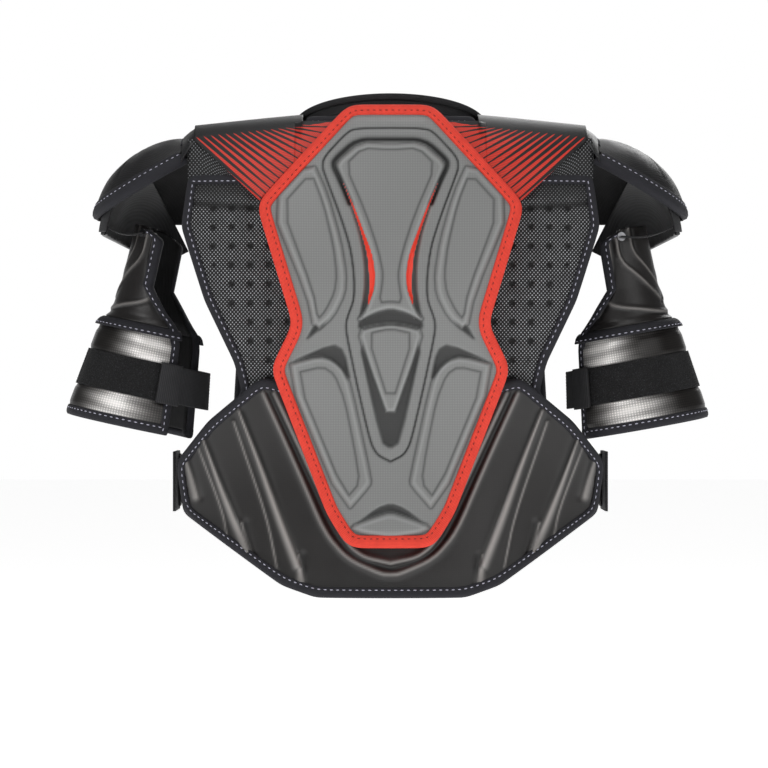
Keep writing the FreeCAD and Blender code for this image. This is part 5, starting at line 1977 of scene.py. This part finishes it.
@dataclass
class Studio:
    """Pale floor, soft light and the camera square on to the back."""

    distance: float = 3.4
    frame_width: float = 0.6912
    middle: tuple[float, float] = (-0.0059, -0.2277)
    face: float = -0.11
    air: float = 0.14

    def build(self) -> None:
        """Builds the studio."""
        scene = bpy.context.scene
        scene.view_settings.view_transform = "Standard"
        camera = bpy.data.objects.new("camera", bpy.data.cameras.new("camera"))
        scene.collection.objects.link(camera)
        camera.location = (self.middle[0], self.face - self.distance, self.middle[1])
        camera.rotation_euler = (math.pi / 2, 0, 0)
        camera.data.lens = 36 * self.distance / self.frame_width
        camera.data.clip_end = 50
        scene.camera = camera
        self._floor()
        world = bpy.data.worlds.new("studio_air")
        scene.world = world
        world.use_nodes = True
        tree = world.node_tree
        ground = add(tree, "ShaderNodeTexCoord")
        way = add(tree, "ShaderNodeSeparateXYZ", {0: ground.outputs["Generated"]})
        glow = add(tree, "ShaderNodeMapRange", {"Value": way.outputs["Y"], "From Min": 0.8,
                                                "From Max": 0.95, "To Min": self.air,
                                                "To Max": 1.0})
        tree.nodes["Background"].inputs[0].default_value = linear("ffffff")
        tree.links.new(glow.outputs[0], tree.nodes["Background"].inputs[1])
        for name, place, size, power in (
                ("key", (-1.5, -2.2, 1.7), 1.4, 30), ("fill", (1.9, -2.1, 0.7), 1.6, 13),
                ("top", (0.0, -0.3, 2.2), 1.2, 20), ("low", (0.4, -2.0, -0.9), 1.2, 4),
                ("front", (0.6, 2.4, 1.2), 1.6, 30)):
            light = bpy.data.objects.new(name, bpy.data.lights.new(name, "AREA"))
            scene.collection.objects.link(light)
            light.location = place
            light.data.size = size
            light.data.energy = power
            way = Vector((0, 0, -0.2)) - Vector(place)
            light.rotation_euler = way.to_track_quat("-Z", "Y").to_euler()

    def _floor(self) -> None:
        """Lays the pale floor."""
        net = bmesh.new()
        bmesh.ops.create_grid(net, x_segments=4, y_segments=4, size=12,
                              matrix=Matrix.Translation((0, 0, -0.62)))
        mesh = mesh_of("studio_floor", net)
        floor = bpy.data.objects.new("studio_floor", mesh)
        bpy.context.scene.collection.objects.link(floor)
        paint = bpy.data.materials.new("pale_floor")
        paint.use_nodes = True
        shader = paint.node_tree.nodes["Principled BSDF"]
        shader.inputs["Base Color"].default_value = linear("f6f6f6")
        shader.inputs["Roughness"].default_value = 1.0
        shader.inputs["Emission Color"].default_value = (1, 1, 1, 1)
        shader.inputs["Emission Strength"].default_value = 0.8
        mesh.materials.append(paint)


def dress_kept_nodes() -> None:
    """Finishes the CAD nodes that show as they are."""
    kept = {"spine_insert": BLACK_PLASTIC, "spine_foam_core": PLAIN_FOAM}
    for _, word in SIDES:
        kept[f"cap_shell_{word}"] = BLACK_PLASTIC
        kept[f"hanger_rivet_{word}"] = STEEL
    for name, finish in kept.items():
        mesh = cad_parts[name].data
        mesh.materials.clear()
        mesh.materials.append(finish.material())
        log.info("%s keeps its shape", name)


def main() -> None:
    """Builds the shoulder pads piece by piece."""
    logging.basicConfig(level=logging.INFO, format="%(message)s")
    BackLiner().build()
    LowerGuard().build()
    SpinePlate().build()
    ChestPanel().build()
    for side, word in SIDES:
        swollen(f"shoulder_pad_{word}", f"shoulder_arch_{word}", SHOULDER_CLOTH, "vest",
                "black_fabric", cap=2.4)
        Yoke(side, word).build()
        ShoulderCap(side, word).build()
        ArmGuard(side, word, *ARM_LEAN[word]).build()
    Collar().build()
    SideStraps().build()
    dress_kept_nodes()
    Studio().build()


if __name__ == "__main__":
    main()
